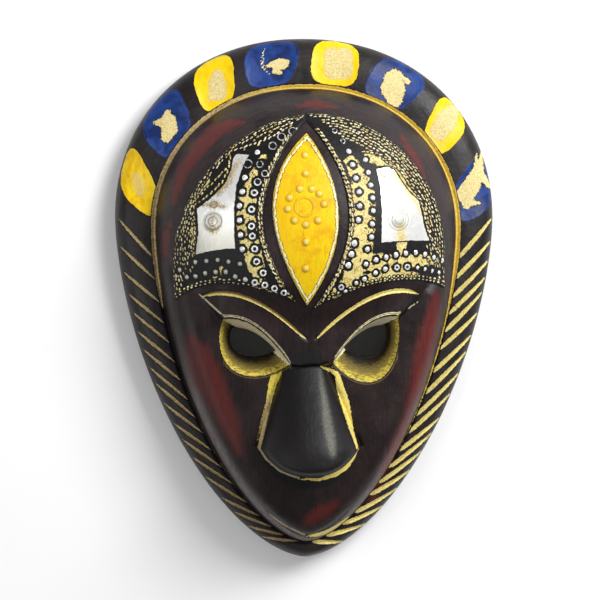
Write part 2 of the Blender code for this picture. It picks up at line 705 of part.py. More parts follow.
def sink_eye(corners, heights, loops):
    """Lowers the corners inside an eye's outline along its funnel."""
    outer, _, hole = loops
    within = inside(corners, outer) | (distance_to(corners, [(outer, True)]) < 1e-6)
    spots = corners[within]
    to_outer = distance_to(spots, [(outer, True)])
    to_hole = distance_to(spots, [(hole, True)])
    to_hole[inside(spots, hole)] = 0
    down = to_outer / np.maximum(to_outer + to_hole, 1e-9)
    heights = heights.copy()
    start = heights[within]
    heights[within] = np.where(down > 1e-6, start + (EYE_HOLE_HEIGHT - start) * down, start)
    return heights


def plate_egg(side):
    """The curve that a forehead plate's top and temple edges follow, inside the face's outline."""
    return Egg(
        PLATE_WIDEST_AT,
        FACE.half_width - side.temple_margin,
        FACE.middle + FACE.above - side.crown_margin - PLATE_WIDEST_AT,
        PLATE_BELOW,
        side.power,
        PLATE_TEMPLE_POWER,
    )


def crossing(gap, low, high):
    """Where a gap between two lines closes, for a gap that is above zero at low and below it at high."""
    for _ in range(40):
        middle = (low + high) / 2
        low, high = (middle, high) if gap(middle) > 0 else (low, middle)
    return (low + high) / 2


def plate_foot(side, across):
    """The lower edge of a forehead plate, at a distance out from the face's middle."""
    peak_x, peak_y = side.peak
    inward = (peak_x - across) / (peak_x - PLATE_INNER_FOOT[0])
    outward = (across - peak_x) / (plate_egg(side).half_width - peak_x)
    inner = (peak_y - PLATE_INNER_FOOT[1]) * inward**2
    return peak_y - np.where(across < peak_x, inner, side.end_drop * outward**2)


def band_edge(side, y):
    """The edge of a forehead plate beside the lens, past the band of wood."""
    top = LENS_MIDDLE + LENS_HALF_HEIGHT + BAND_OVER_LENS
    bottom = LENS_MIDDLE - LENS_HALF_HEIGHT - BAND_UNDER_LENS
    along = (y - (top + bottom) / 2) / ((top - bottom) / 2)
    return side.sign * LENS_AXIS + (LENS_HALF_WIDTH + side.band) * (1 - along**2)


def plate_outline(side):
    """A forehead plate: over the top, down the temple, along the brow and up beside the lens."""
    egg = plate_egg(side)
    seam = side.sign * LENS_AXIS + SEAM / 2
    outer = crossing(
        lambda across: egg_x(egg, float(plate_foot(side, across))) - across, side.peak[0], egg.half_width
    )
    inner = crossing(lambda across: band_edge(side, float(plate_foot(side, across))) - across, 0, side.peak[0])
    tip = crossing(lambda y: band_edge(side, y) - seam, LENS_MIDDLE, egg.middle + egg.above)
    start = math.acos(np.clip(abs(seam) / egg.half_width, 0, 1) ** (side.power / 2))
    outer_y = float(plate_foot(side, outer))
    points = [(seam, egg.middle + egg.above * math.sin(start) ** (2 / side.power))]
    for step in range(1, PLATE_TOP_STEPS):
        angle = start * (1 - step / PLATE_TOP_STEPS)
        points.append((
            egg.half_width * math.cos(angle) ** (2 / side.power),
            egg.middle + egg.above * math.sin(angle) ** (2 / side.power),
        ))
    for y in np.linspace(egg.middle, outer_y, PLATE_TEMPLE_STEPS):
        points.append((egg_x(egg, y), y))
    for across in np.linspace(outer, inner, PLATE_FOOT_STEPS)[1:]:
        points.append((across, float(plate_foot(side, across))))
    for y in np.linspace(float(plate_foot(side, inner)), tip, PLATE_BAND_STEPS)[1:]:
        points.append((float(band_edge(side, y)), y))
    points = np.array(points) * (side.sign, 1)
    return points if side.sign < 0 else points[::-1]


def lens_outline():
    """The lens plate's outline: its left side is fuller and leans up."""
    along = np.linspace(-1, 1, LENS_STEPS)
    leaning = along - LENS_LEFT_LEAN * (1 - along**2)
    up = LENS_MIDDLE + LENS_HALF_HEIGHT * along
    right = np.stack([LENS_AXIS + LENS_HALF_WIDTH * (1 - along**2), up], axis=1)
    left = np.stack([LENS_AXIS - LENS_LEFT_HALF_WIDTH * (1 - leaning**2), up], axis=1)
    return np.concatenate([right, left[1:-1][::-1]])


def raised_spots():
    """Middle, radius and height of each boss and dot raised on the plates."""
    spots = [(boss, BOSS_RADIUS, BOSS_HEIGHT) for boss in BOSSES]
    spots += [((RING_MIDDLE[0], LENS_MIDDLE + up), DOT_RADIUS, DOT_HEIGHT) for up in AXIS_DOTS_FROM_MIDDLE]
    for turn in RING_DOT_TURNS:
        angle = math.radians(turn)
        spot = np.array(RING_MIDDLE) + RING_RADIUS * np.array((math.cos(angle), math.sin(angle)))
        spots.append((spot, DOT_RADIUS, DOT_HEIGHT))
    return spots


def plate_relief(x, y):
    relief = np.zeros_like(x)
    for middle, radius, height in raised_spots():
        share = clamp(np.hypot(x - middle[0], y - middle[1]) / radius)
        relief = np.maximum(relief, height * (1 - share**2))
    return relief


def off_dome(corners, rise):
    """The points over the dome at a distance along its normal."""
    x, y = corners[:, 0], corners[:, 1]
    slope_x = (skin_height(x + SLOPE_STEP, y) - skin_height(x - SLOPE_STEP, y)) / (2 * SLOPE_STEP)
    slope_y = (skin_height(x, y + SLOPE_STEP) - skin_height(x, y - SLOPE_STEP)) / (2 * SLOPE_STEP)
    normals = np.column_stack([-slope_x, -slope_y, np.ones_like(x)])
    normals /= np.linalg.norm(normals, axis=1)[:, None]
    return np.column_stack([corners, skin_height(x, y)]) + normals * np.reshape(rise, (-1, 1))


def ring_paths():
    return [egg_points(smaller(FACE, inset)) for inset in SHOULDER_STEPS]


def make_plate(name, outline, colour):
    lines = [(outline, True)]
    loose = []
    for middle, radius, _ in raised_spots():
        turns = 2 * math.pi * np.arange(RAISED_STEPS) / RAISED_STEPS
        ring = np.array(middle) + radius * np.stack([np.cos(turns), np.sin(turns)], axis=1)
        if inside(ring, outline).all():
            lines.append((ring, True))
            loose.append(middle)
    shoulders = np.concatenate(ring_paths())
    grid = loose_points(FACET, smaller(FACE, SHOULDER_STEPS[-1]), [(path, True) for path in ring_paths()])
    for spots, clearance in ((shoulders, PLATE_EDGE_CLEARANCE), (grid, FACET * CLEAR_OF_LINES)):
        spots = spots[inside(spots, outline)]
        loose += list(spots[distance_to(spots, lines) > clearance])
    corners, faces = triangulate(lines, loose)
    faces = keep_inside(corners, faces, outline)
    relief = plate_relief(corners[:, 0], corners[:, 1])
    top = off_dome(corners, PLATE_GAP + PLATE_THICKNESS + relief)
    bottom = off_dome(corners, np.full(len(corners), PLATE_GAP))
    shift = len(corners)
    polygons = [tuple(face) for face in faces] + [tuple(face[::-1] + shift) for face in faces]
    for a, b in border_edges(faces):
        polygons.append((b, a, a + shift))
        polygons.append((b, a + shift, b + shift))
    add_mesh(name, np.concatenate([top, bottom]), polygons, colour)


def solid_between(name, front, back):
    """A closed body from a front and a back that share their borders in plan."""
    corners, faces, heights = front
    back_corners, back_faces, back_heights = back
    points = np.concatenate([
        np.column_stack([corners, heights]),
        np.column_stack([back_corners, back_heights]),
    ])
    shift = len(corners)
    under = {tuple(np.round(spot, 7)): shift + k for k, spot in enumerate(back_corners)}
    polygons = [tuple(face) for face in faces]
    polygons += [tuple(face[::-1] + shift) for face in back_faces]
    for a, b in border_edges(faces):
        below_a, below_b = under[tuple(np.round(corners[a], 7))], under[tuple(np.round(corners[b], 7))]
        polygons.append((b, a, below_a))
        polygons.append((b, below_a, below_b))
    add_mesh(name, points, polygons, DARK_WOOD)


def add_material(piece, name, colour):
    material = bpy.data.materials.new(name)
    material.use_nodes = True
    shader = material.node_tree.nodes["Principled BSDF"]
    shader.inputs["Base Color"].default_value = (*colour.rgb, 1.0)
    shader.inputs["Roughness"].default_value = colour.roughness
    shader.inputs["Metallic"].default_value = colour.metallic
    piece.data.materials.append(material)


def add_mesh(name, points, polygons, colour):
    used = sorted({corner for polygon in polygons for corner in polygon})
    place = {corner: k for k, corner in enumerate(used)}
    mesh = bpy.data.meshes.new(name)
    mesh.from_pydata(
        [tuple(points[k]) for k in used], [], [tuple(place[k] for k in polygon) for polygon in polygons]
    )
    mesh.validate()
    mesh.update()
    mesh.shade_smooth()
    mesh.set_sharp_from_angle(angle=SHARP_ANGLE)
    piece = bpy.data.objects.new(name, mesh)
    bpy.context.scene.collection.objects.link(piece)
    add_material(piece, name, colour)


def main():
    for old in list(bpy.data.objects):
        bpy.data.objects.remove(old, do_unlink=True)
    make_carved_body()
    make_plate("left_forehead_plate", plate_outline(LEFT_SIDE), BRIGHT_METAL)
    make_plate("right_forehead_plate", plate_outline(RIGHT_SIDE), BRIGHT_METAL)
    make_plate("centre_lens_plate", lens_outline(), YELLOW_PAINT)


main()
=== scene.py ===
"""Looks of the carved wooden mask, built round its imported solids.

The mask lies on its back: +Z is out of the face, +Y is towards the crest and +X is to the right of the face
as it is seen. Sizes are in metres. The carved wood and the three metal sheets follow the same height rules as
the solids, on a much finer plan, and carry numbers that the paint reads: how far each point is inside a
painted line or patch, in millimetres.
"""

import math
from collections import namedtuple

import bpy
import numpy as np
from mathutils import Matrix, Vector
from mathutils.geometry import delaunay_2d_cdt
from mathutils.kdtree import KDTree


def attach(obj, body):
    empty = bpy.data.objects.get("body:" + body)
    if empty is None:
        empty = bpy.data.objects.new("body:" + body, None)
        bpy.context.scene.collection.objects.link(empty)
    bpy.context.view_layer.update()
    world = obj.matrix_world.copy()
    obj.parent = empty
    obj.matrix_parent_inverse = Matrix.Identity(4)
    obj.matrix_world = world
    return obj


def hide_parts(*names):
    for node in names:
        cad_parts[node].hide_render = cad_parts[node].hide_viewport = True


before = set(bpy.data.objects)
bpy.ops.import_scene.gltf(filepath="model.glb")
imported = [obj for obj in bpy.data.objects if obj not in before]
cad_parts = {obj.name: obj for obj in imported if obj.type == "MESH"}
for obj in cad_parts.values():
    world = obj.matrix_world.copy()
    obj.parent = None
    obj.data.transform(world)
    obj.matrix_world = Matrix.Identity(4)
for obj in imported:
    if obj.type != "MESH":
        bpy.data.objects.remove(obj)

bl_info = {
    "name": "Carved Mask",
    "version": (1, 0, 0),
    "blender": (4, 5, 0),
    "location": "3D View > Sidebar > Mask",
    "description": "A painted wooden mask with embossed metal sheets on its forehead",
    "category": "Add Mesh",
}

MM = 0.001
TO_MM = 1000
RIDES_ON = "root"
PHOTO_SIDE = 600

# Outline of the rim
HEIGHT = 0.280
WIDTH = 0.2047
WIDEST_AT = 0.043
TOP_POWER = 2.12
CHIN_POWER = 1.65

# Rim: a band round the face, rounded over its outer edge
RIM_AT_CREST = 0.0285
RIM_AT_SIDE = 0.0219
RIM_AT_CHIN = 0.0100
RIM_EDGE_HEIGHT = 0.008
RIM_CROWN_HEIGHT = 0.021
RIM_GROOVE_WIDTH = 0.0022
RIM_GROOVE_DEPTH = 0.0012

# Face: widest line, height where it rises from the rim, and the roll of its edge
FACE_WIDEST_AT = 0.036
FACE_FOOT_HEIGHT = 0.020
SHOULDER_WIDTH = 0.015
SHOULDER_POWER = 2.2
CHEEK_HEIGHT = 0.0475
CHEEK_CROWN = 0.0050
CHIN_FALL = 0.0085
CHIN_FALL_FROM = -0.070
CHIN_FALL_LENGTH = 0.060
TEMPLE_FALL = 0.024
TEMPLE_FALL_LENGTH = 0.045

# Forehead dome
FOREHEAD_HEIGHT = 0.071
DOME_BELOW = 0.072
DOME_POWER = 0.62
DOME_BLEND = 0.004

# Brows: the mass over the eyes, its lower edge and the groove along it
BROW_HEIGHT = 0.0555
BROW_CROWN = 0.0095
BROW_END = (0.0555, 0.0005)
BROW_EDGE_ROLL = 0.0026
BROW_GROOVE_PEAK = (0.046, 0.0022)
BROW_GROOVE_INNER = (0.0025, -0.0219)
BROW_GROOVE_OUTER = BROW_END
BROW_GROOVE_POWER = 1.87
BROW_GROOVE_WIDTH = 0.0022
BROW_GROOVE_DEPTH = 0.0011

# Eyes: a funnel from an almond to a smaller hole, close under the upper lid
EYE_INNER_CORNER = (0.0104, -0.0342)
EYE_OUTER_CORNER = (0.0445, -0.0106)
EYE_LID_RISE = 0.0069
LEFT_EYE_DROP = (0.0118, -0.0155)
RIGHT_EYE_DROP = (0.0088, -0.0208)
EYE_DROP_POWER = 1.45
EYE_MIDDLE = (0.0279, -0.0215)
EYE_HOLE_MIDDLE = (0.0288, -0.0213)
EYE_HOLE_SHARE = (0.66, 0.50)
EYE_HOLE_HEIGHT = 0.0365
NASION_DIP = 0.0008

# The right half of the face is carved a little higher and further out than the left
RIGHT_HALF_SHIFT = (0.0013, 0.0013)
SHIFT_BLEND = 0.008

# Nose: a half-round cone that ends in a steep underside
NOSE_TOP = (-0.0029, -0.034)
NOSE_FOOT = (-0.0003, -0.078)
NOSE_HALF_WIDTH_TOP = 0.0103
NOSE_HALF_WIDTH_FOOT = 0.0266
NOSE_RIDGE_TOP = 0.052
NOSE_RIDGE_FOOT = 0.0745
NOSE_RIDGE_BLEND = 0.004
NOSE_END_BULGE = 0.0148
NOSE_END_POWER = 2.5
NOSE_ROLL = 0.0065
NOSE_ROLL_POWERS = (3, 0.8)
NOSE_SECTION_POWER = 2.3
NOSE_GROOVE_WIDTH = 0.0030
NOSE_GROOVE_DEPTH = 0.0010

# Chin: a groove inside the edge of the face
CHIN_GROOVE_INSET = 0.0052
CHIN_GROOVE_REACH = 0.024
CHIN_GROOVE_FADE = 0.005
CHIN_GROOVE_WIDTH = 0.0026
CHIN_GROOVE_DEPTH = 0.0015

# Hatching: gouge cuts down each side of the rim. The gaps are shares of their sum, as uneven as by hand
CUT_OUTER_FROM = 0.0430
LEFT_CUT_OUTER_TO = -0.1284
RIGHT_CUT_OUTER_TO = -0.1315
CUT_INNER_HEIGHTS = (0.0210, -0.1305)
LEFT_OUTER_GAPS = (28, 26, 22, 19, 20, 19, 19, 17, 22, 22, 18, 21, 23, 27, 19, 21, 17)
LEFT_INNER_GAPS = (22, 22, 21, 19, 20, 19, 20, 19, 16, 19, 19, 19, 24, 17, 16, 14, 16)
RIGHT_OUTER_GAPS = (23, 20, 17, 15, 22, 23, 18, 23, 22, 27, 17, 21, 23, 22, 23, 25, 28)
RIGHT_INNER_GAPS = (20, 19, 17, 18, 18, 24, 23, 23, 19, 20, 19, 18, 15, 23, 17, 20, 15)
CUT_OUTER_SHARE = 0.92
CUT_INNER_SHARE = 0.10
CUT_WIDTH = 0.0024
CUT_DEPTH = 0.0011

# Crest: dished cells, as degrees round the rim and shares of the way across it
Cell = namedtuple("Cell", "inner_from inner_to outer_from outer_to share_from share_to")
CREST_CELLS = (
    Cell(164, 177, 152, 168, 0.03, 0.96),
    Cell(137, 155, 131, 149, 0.04, 0.96),
    Cell(118, 132, 112, 126, 0.05, 0.96),
    Cell(95, 113, 91, 109, 0.10, 0.94),
    Cell(71, 89, 73.5, 87.5, 0.10, 0.97),
    Cell(50.5, 69, 50, 66.5, 0.03, 0.97),
    Cell(28, 40.5, 32.5, 46, 0.03, 0.97),
    Cell(1.5, 17, 7, 25.5, 0.03, 0.97),
)
CELL_DEPTH = 0.0014
CELL_POWER = 3.2

# Hollow back
WALL = 0.013
HOLLOW_RIM_AT_CREST = 0.038
HOLLOW_RIM_AT_SIDE = 0.029
HOLLOW_RIM_AT_CHIN = 0.024
HOLLOW_POWER = 4

# Metal plates, laid on the forehead dome
PLATE_WIDEST_AT = 0.020
LENS_AXIS = -0.0023
LENS_CROWN_MARGIN = 0.0270
LENS_FOOT = -0.0045
LENS_TOP = HEIGHT / 2 - RIM_AT_CREST - LENS_CROWN_MARGIN
LENS_MIDDLE = (LENS_TOP + LENS_FOOT) / 2
LENS_HALF_HEIGHT = (LENS_TOP - LENS_FOOT) / 2
LENS_HALF_WIDTH = 0.0157
LENS_LEFT_HALF_WIDTH = 0.0182
LENS_LEFT_LEAN = 0.12
SEAM = 0.0008
Side = namedtuple("Side", "sign temple_margin crown_margin power band peak end_drop")
LEFT_SIDE = Side(-1, 0.00965, 0.0170, 1.80, 0.0069, (0.047, 0.0070), 0.0094)
RIGHT_SIDE = Side(1, 0.00865, 0.0163, 2.00, 0.0048, (0.053, 0.0090), 0.0042)
PLATE_BELOW = 0.120
PLATE_TEMPLE_POWER = 2.0
PLATE_INNER_FOOT = (0.0045, -0.0037)
BAND_OVER_LENS = 0.0065
BAND_UNDER_LENS = 0.0045

# Raised work on the plates
BOSS_RADIUS = 0.0052
BOSS_HEIGHT = 0.0016
BOSSES = ((-0.0497, 0.0384), (0.0445, 0.0402))
DOT_RADIUS = 0.0019
DOT_HEIGHT = 0.0010
AXIS_DOTS_FROM_MIDDLE = (0.0318, 0.0223, -0.0121, -0.0252)
RING_FROM_MIDDLE = (-0.0012, 0.0058)
RING_MIDDLE = (LENS_AXIS + RING_FROM_MIDDLE[0], LENS_MIDDLE + RING_FROM_MIDDLE[1])
RING_RADIUS = 0.0092
RING_DOT_TURNS = (7, 43, 71, 109, 153, 189, 231, 269, 310)
SLOPE_STEP = 0.0005
PLATE_TOP_STEPS = 15
PLATE_TEMPLE_STEPS = 6
PLATE_FOOT_STEPS = 17
PLATE_BAND_STEPS = 14
LENS_STEPS = 15

# Fine plan: how closely the surface follows its rules
RING_STEPS = 640
FINE_RIM_SHARES = (0.93, 0.965, 0.985, 0.996)
FINE_SHOULDER_STEPS = 15
SHOULDER_SHARE = 0.97
CELL_RING_SCALES = (1.0, 0.8)
CELL_STEPS = 72
LEAF_LINE_STEPS = 13
BROW_STEPS = 70
LID_STEPS = 44
DROP_STEPS = 60
LID_OFFSETS = (0.0011, 0.0006, -0.0005, -0.0017)
EYE_DEPTHS = (0.0, 0.12, 0.45, 0.75, 1.0)
NOSE_SIDE_SHARES = (1.0, 0.988, 0.955, 0.9)
NOSE_BESIDE = (0.0009, 0.0019)
NOSE_END_SHARES = (-0.28, -0.13, 0.0, 0.02, 0.06, 0.12, 0.22, 0.36, 0.55, 0.78, 1.0)
LINE_CLEARANCE = 0.45
OUTER_WALL_FROM = 0.9
SHARP_ANGLE = 50
BACK_RING_INSETS = (0, 0.0008, 0.002, 0.004, 0.007, 0.011, 0.016)

# Sheets: how they lie on the wood
SHEET_LIFT = 0.00006
SHEET_EDGE_RISE = 0.00045
SHEET_MIDDLE_RISE = 0.00095
SHEET_EDGE_ROLL = 0.0014
SHEET_EDGE_SPACING = 0.0006
SHEET_EDGE_CLEARANCE = 0.6
SHEET_WORKED_FROM = 0.0005

Egg = namedtuple("Egg", "middle half_width above below top_power bottom_power")


def egg_within(widest_at, at_crest, at_side, at_chin):
    """The egg that keeps some distances from the mask's top, sides and bottom."""
    above = HEIGHT / 2 - at_crest - widest_at
    below = HEIGHT / 2 - at_chin + widest_at
    return Egg(widest_at, WIDTH / 2 - at_side, above, below, TOP_POWER, CHIN_POWER)


RIM = egg_within(WIDEST_AT, 0, 0, 0)
FACE = egg_within(FACE_WIDEST_AT, RIM_AT_CREST, RIM_AT_SIDE, RIM_AT_CHIN)
DOME = FACE._replace(below=DOME_BELOW, bottom_power=TOP_POWER)
HOLLOW = egg_within(FACE_WIDEST_AT, HOLLOW_RIM_AT_CREST, HOLLOW_RIM_AT_SIDE, HOLLOW_RIM_AT_CHIN)


def clamp(values):
    return np.clip(values, 0.0, 1.0)


def ease(values):
    t = clamp(values)
    return t * t * (3 - 2 * t)


def paired(x, y):
    return np.stack([x, y], axis=1)


def blend_max(a, b, width):
    """The larger of two heights, rounded over width where they cross."""
    share = clamp(0.5 + 0.5 * (a - b) / width)
    return b + (a - b) * share + width * share * (1 - share)


def egg_half(y, egg):
    """The power and the reach of the egg's half that a point is in."""
    upper = y > egg.middle
    return np.where(upper, egg.top_power, egg.bottom_power), np.where(upper, egg.above, egg.below)


def egg_fraction(x, y, egg):
    """0 at the middle of the egg, 1 on its outline, and more outside it."""
    power, reach = egg_half(y, egg)
    return (np.abs(x / egg.half_width) ** power + np.abs((y - egg.middle) / reach) ** power) ** (1 / power)


def egg_inset(x, y, egg):
    """How far a point is inside the egg's outline, below zero outside it."""
    power, reach = egg_half(y, egg)
    fraction = np.maximum(egg_fraction(x, y, egg), 1e-6)
    scale = fraction ** (1 - power)
    along_x = scale * np.abs(x / egg.half_width) ** (power - 1) / egg.half_width
    along_y = scale * np.abs((y - egg.middle) / reach) ** (power - 1) / reach
    return (1 - fraction) / np.maximum(np.hypot(along_x, along_y), 1 / (egg.above + egg.below))


def egg_points(egg, steps=RING_STEPS):
    """The outline as points, from the widest point on the right and up over the crest."""
    points = []
    for step in range(steps):
        angle = 2 * math.pi * step / steps
        cosine, sine = math.cos(angle), math.sin(angle)
        power = 2 / (egg.top_power if sine > 0 else egg.bottom_power)
        reach = egg.above if sine > 0 else egg.below
        points.append((
            egg.half_width * math.copysign(abs(cosine) ** power, cosine),
            egg.middle + reach * math.copysign(abs(sine) ** power, sine),
        ))
    return np.array(points)


def egg_x(egg, y):
    """Half the egg's width at a height y."""
    power = egg.top_power if y > egg.middle else egg.bottom_power
    reach = egg.above if y > egg.middle else egg.below
    return egg.half_width * max(0.0, 1 - (abs(y - egg.middle) / reach) ** power) ** (1 / power)


def smaller(egg, inset):
    return egg._replace(half_width=egg.half_width - inset, above=egg.above - inset, below=egg.below - inset)


def rim_share(x, y):
    """0 where the rim meets the face, 1 at its outer edge."""
    from_face = np.maximum(-egg_inset(x, y, FACE), 0)
    from_edge = np.maximum(egg_inset(x, y, RIM), 0)
    return from_face / np.maximum(from_face + from_edge, 1e-9)


def groove(distance, width, depth):
    """A V cut: its depth at a distance from its middle line."""
    return depth * clamp(1 - np.abs(distance) / (width / 2))


def half_frame(x, y):
    """Plan coordinates of the left half's pattern, for points of either half."""
    share = ease((x + SHIFT_BLEND) / (2 * SHIFT_BLEND))
    return np.abs(x - RIGHT_HALF_SHIFT[0] * share), y - RIGHT_HALF_SHIFT[1] * share


def from_half_frame(points, sign):
    """The same pattern points on the left half (sign -1) or the right half (sign 1)."""
    points = np.array(points, dtype=float)
    if sign < 0:
        return points * (-1, 1)
    return points + RIGHT_HALF_SHIFT


def lid_line(across):
    """The upper edge of the eye and, past its corners, the lower edge of the brow."""
    (inner_x, inner_y), (outer_x, outer_y) = EYE_INNER_CORNER, EYE_OUTER_CORNER
    t = (across - inner_x) / (outer_x - inner_x)
    lid = inner_y + (outer_y - inner_y) * t + EYE_LID_RISE * 4 * t * (1 - t)
    nasion = inner_y - NASION_DIP * (1 - (across / inner_x) ** 2)
    tail = outer_y + (BROW_END[1] - outer_y) * (across - outer_x) / (BROW_END[0] - outer_x)
    return np.where(across < inner_x, nasion, np.where(across > outer_x, tail, lid))


def brow_groove_line(across):
    peak_x, peak_y = BROW_GROOVE_PEAK
    inward = clamp((peak_x - across) / (peak_x - BROW_GROOVE_INNER[0]))
    outward = (across - peak_x) / (BROW_GROOVE_OUTER[0] - peak_x)
    inner = (peak_y - BROW_GROOVE_INNER[1]) * inward**BROW_GROOVE_POWER
    outer = (peak_y - BROW_GROOVE_OUTER[1]) * outward**2
    return peak_y - np.where(across < peak_x, inner, outer)


def nose_section(y):
    """Share of the way down the nose, and its middle and half width there."""
    down = np.clip((NOSE_TOP[1] - y) / (NOSE_TOP[1] - NOSE_FOOT[1]), -0.1, 1.0)
    middle = NOSE_TOP[0] + (NOSE_FOOT[0] - NOSE_TOP[0]) * down
    half_width = NOSE_HALF_WIDTH_TOP + (NOSE_HALF_WIDTH_FOOT - NOSE_HALF_WIDTH_TOP) * down
    return down, middle, half_width


def nose_end(across):
    """The arc that the nose ends on."""
    return NOSE_FOOT[1] - NOSE_END_BULGE * (1 - clamp(np.abs(across)) ** NOSE_END_POWER)


def skin_height(x, y):
    """The carved front of the face, without the eye funnels and the nose."""
    spread = (x / FACE.half_width) ** 2
    chin = np.maximum(CHIN_FALL_FROM - y, 0) / CHIN_FALL_LENGTH
    cheek = CHEEK_HEIGHT - CHEEK_CROWN * spread - CHIN_FALL * chin**2
    brow = BROW_HEIGHT - BROW_CROWN * spread
    across, up = half_frame(x, y)
    over_edge = ease((up - lid_line(across)) / BROW_EDGE_ROLL + 1)
    fade = 1 - ease((across - EYE_OUTER_CORNER[0]) / (BROW_END[0] - EYE_OUTER_CORNER[0]))
    plane = cheek + (brow - cheek) * over_edge * fade
    plane = plane - TEMPLE_FALL * ease((y - BROW_END[1]) / TEMPLE_FALL_LENGTH)
    inset = egg_inset(x, y, FACE)
    roll = (1 - (1 - clamp(inset / SHOULDER_WIDTH)) ** SHOULDER_POWER) ** 0.5
    mass = FACE_FOOT_HEIGHT + (plane - FACE_FOOT_HEIGHT) * roll
    return blend_max(dome_height(x, y), mass, DOME_BLEND)


def dome_height(x, y):
    rise = clamp(1 - egg_fraction(x, y, DOME) ** 2) ** DOME_POWER
    return FACE_FOOT_HEIGHT + (FOREHEAD_HEIGHT - FACE_FOOT_HEIGHT) * rise


def face_height(x, y):
    skin = skin_height(x, y)
    across, up = half_frame(x, y)
    on_groove = (across > BROW_GROOVE_INNER[0] / 2) & (across < BROW_GROOVE_OUTER[0])
    skin = skin - np.where(
        on_groove, groove(up - brow_groove_line(across), BROW_GROOVE_WIDTH, BROW_GROOVE_DEPTH), 0
    )
    reach = ease((CHIN_GROOVE_REACH - np.abs(x)) / CHIN_GROOVE_FADE)
    at_chin = y < NOSE_FOOT[1]
    inset = egg_inset(x, y, FACE)
    skin = skin - np.where(
        at_chin, reach * groove(inset - CHIN_GROOVE_INSET, CHIN_GROOVE_WIDTH, CHIN_GROOVE_DEPTH), 0
    )
    down, middle, half_width = nose_section(y)
    over = (x - middle) / half_width
    from_end = y - nose_end(over)
    beside = (np.abs(over) - 1) * half_width
    beside_nose = (down > 0) & (y > NOSE_FOOT[1])
    skin = skin - np.where(
        beside_nose, groove(beside - NOSE_GROOVE_WIDTH / 3, NOSE_GROOVE_WIDTH, NOSE_GROOVE_DEPTH), 0
    )
    slope = (NOSE_RIDGE_FOOT - NOSE_RIDGE_TOP) / (NOSE_TOP[1] - NOSE_FOOT[1])
    rise = NOSE_RIDGE_TOP + (NOSE_TOP[1] - y) * slope
    ridge = -blend_max(-rise, -NOSE_RIDGE_FOOT, NOSE_RIDGE_BLEND)
    section = (1 - clamp(np.abs(over)) ** NOSE_SECTION_POWER) ** 0.5
    end = (1 - (1 - clamp(from_end / NOSE_ROLL)) ** NOSE_ROLL_POWERS[0]) ** NOSE_ROLL_POWERS[1]
    nose = skin + (ridge - skin) * section * end
    return np.where((down > -0.1) & (from_end > 0) & (np.abs(over) < 1), np.maximum(nose, skin), skin)


def cut_lines():
    """The middle line of each gouge cut, as its outer and inner end."""
    lines = []
    for sign, outer_to, outer_gaps, inner_gaps in (
        (-1, LEFT_CUT_OUTER_TO, LEFT_OUTER_GAPS, LEFT_INNER_GAPS),
        (1, RIGHT_CUT_OUTER_TO, RIGHT_OUTER_GAPS, RIGHT_INNER_GAPS),
    ):
        outer = rim_walk(CUT_OUTER_SHARE, (CUT_OUTER_FROM, outer_to), outer_gaps)
        inner = rim_walk(CUT_INNER_SHARE, CUT_INNER_HEIGHTS, inner_gaps)
        lines += [(start * (sign, 1), end * (sign, 1)) for start, end in zip(outer, inner)]
    return lines


def rim_walk(share, heights, gaps):
    """Points down the right side of the rim, from one height to another, spaced by some gaps."""
    face, rim = egg_points(FACE, 2 * RING_STEPS), egg_points(RIM, 2 * RING_STEPS)
    path = face + (rim - face) * share
    path = path[(path[:, 0] > 0) & (path[:, 1] < heights[0]) & (path[:, 1] > heights[1])]
    path = path[np.argsort(-path[:, 1])]
    lengths = np.concatenate([[0], np.cumsum(np.hypot(*np.diff(path, axis=0).T))])
    at = lengths[-1] * np.concatenate([[0], np.cumsum(gaps)]) / sum(gaps)
    return np.stack([np.interp(at, lengths, path[:, 0]), np.interp(at, lengths, path[:, 1])], axis=1)


def beside_line(x, y, start, end):
    """How far a point is along a line, as a share of it, how far aside of it, and the line's length."""
    run = end - start
    length = float(np.hypot(*run))
    along = ((x - start[0]) * run[0] + (y - start[1]) * run[1]) / length**2
    aside = np.abs((x - start[0]) * run[1] - (y - start[1]) * run[0]) / length
    return along, aside, length


def cut_depth(x, y):
    """Depth of the gouge cuts: leaf shapes, deepest along the middle line."""
    depth = np.zeros_like(x)
    for start, end in cut_lines():
        along, aside, _ = beside_line(x, y, start, end)
        leaf = np.sqrt(clamp(4 * along * (1 - along)))
        half = np.maximum(CUT_WIDTH / 2 * leaf, 1e-6)
        depth = np.maximum(depth, np.where(leaf > 0, CUT_DEPTH * leaf * clamp(1 - aside / half), 0))
    return depth


def cell_ends(cell, outward):
    """The degrees where a crest cell starts and stops, at a share of the way out across it."""
    start = cell.inner_from + (cell.outer_from - cell.inner_from) * outward
    stop = cell.inner_to + (cell.outer_to - cell.inner_to) * outward
    return start, stop


def cell_fraction(cell, degrees, share):
    """0 in the middle of a crest cell, 1 on its outline."""
    middle = (cell.share_from + cell.share_to) / 2
    over = (share - middle) / ((cell.share_to - cell.share_from) / 2)
    start, stop = cell_ends(cell, clamp((over + 1) / 2))
    along = (degrees - (start + stop) / 2) / ((stop - start) / 2)
    return (np.abs(along) ** CELL_POWER + np.abs(over) ** CELL_POWER) ** (1 / CELL_POWER)


def rim_degrees(x, y):
    """Degrees round the rim, 0 at the right and 90 at the crest."""
    degrees = np.degrees(np.arctan2(y - FACE_WIDEST_AT, x))
    return np.where(degrees < -90, degrees + 360, degrees)


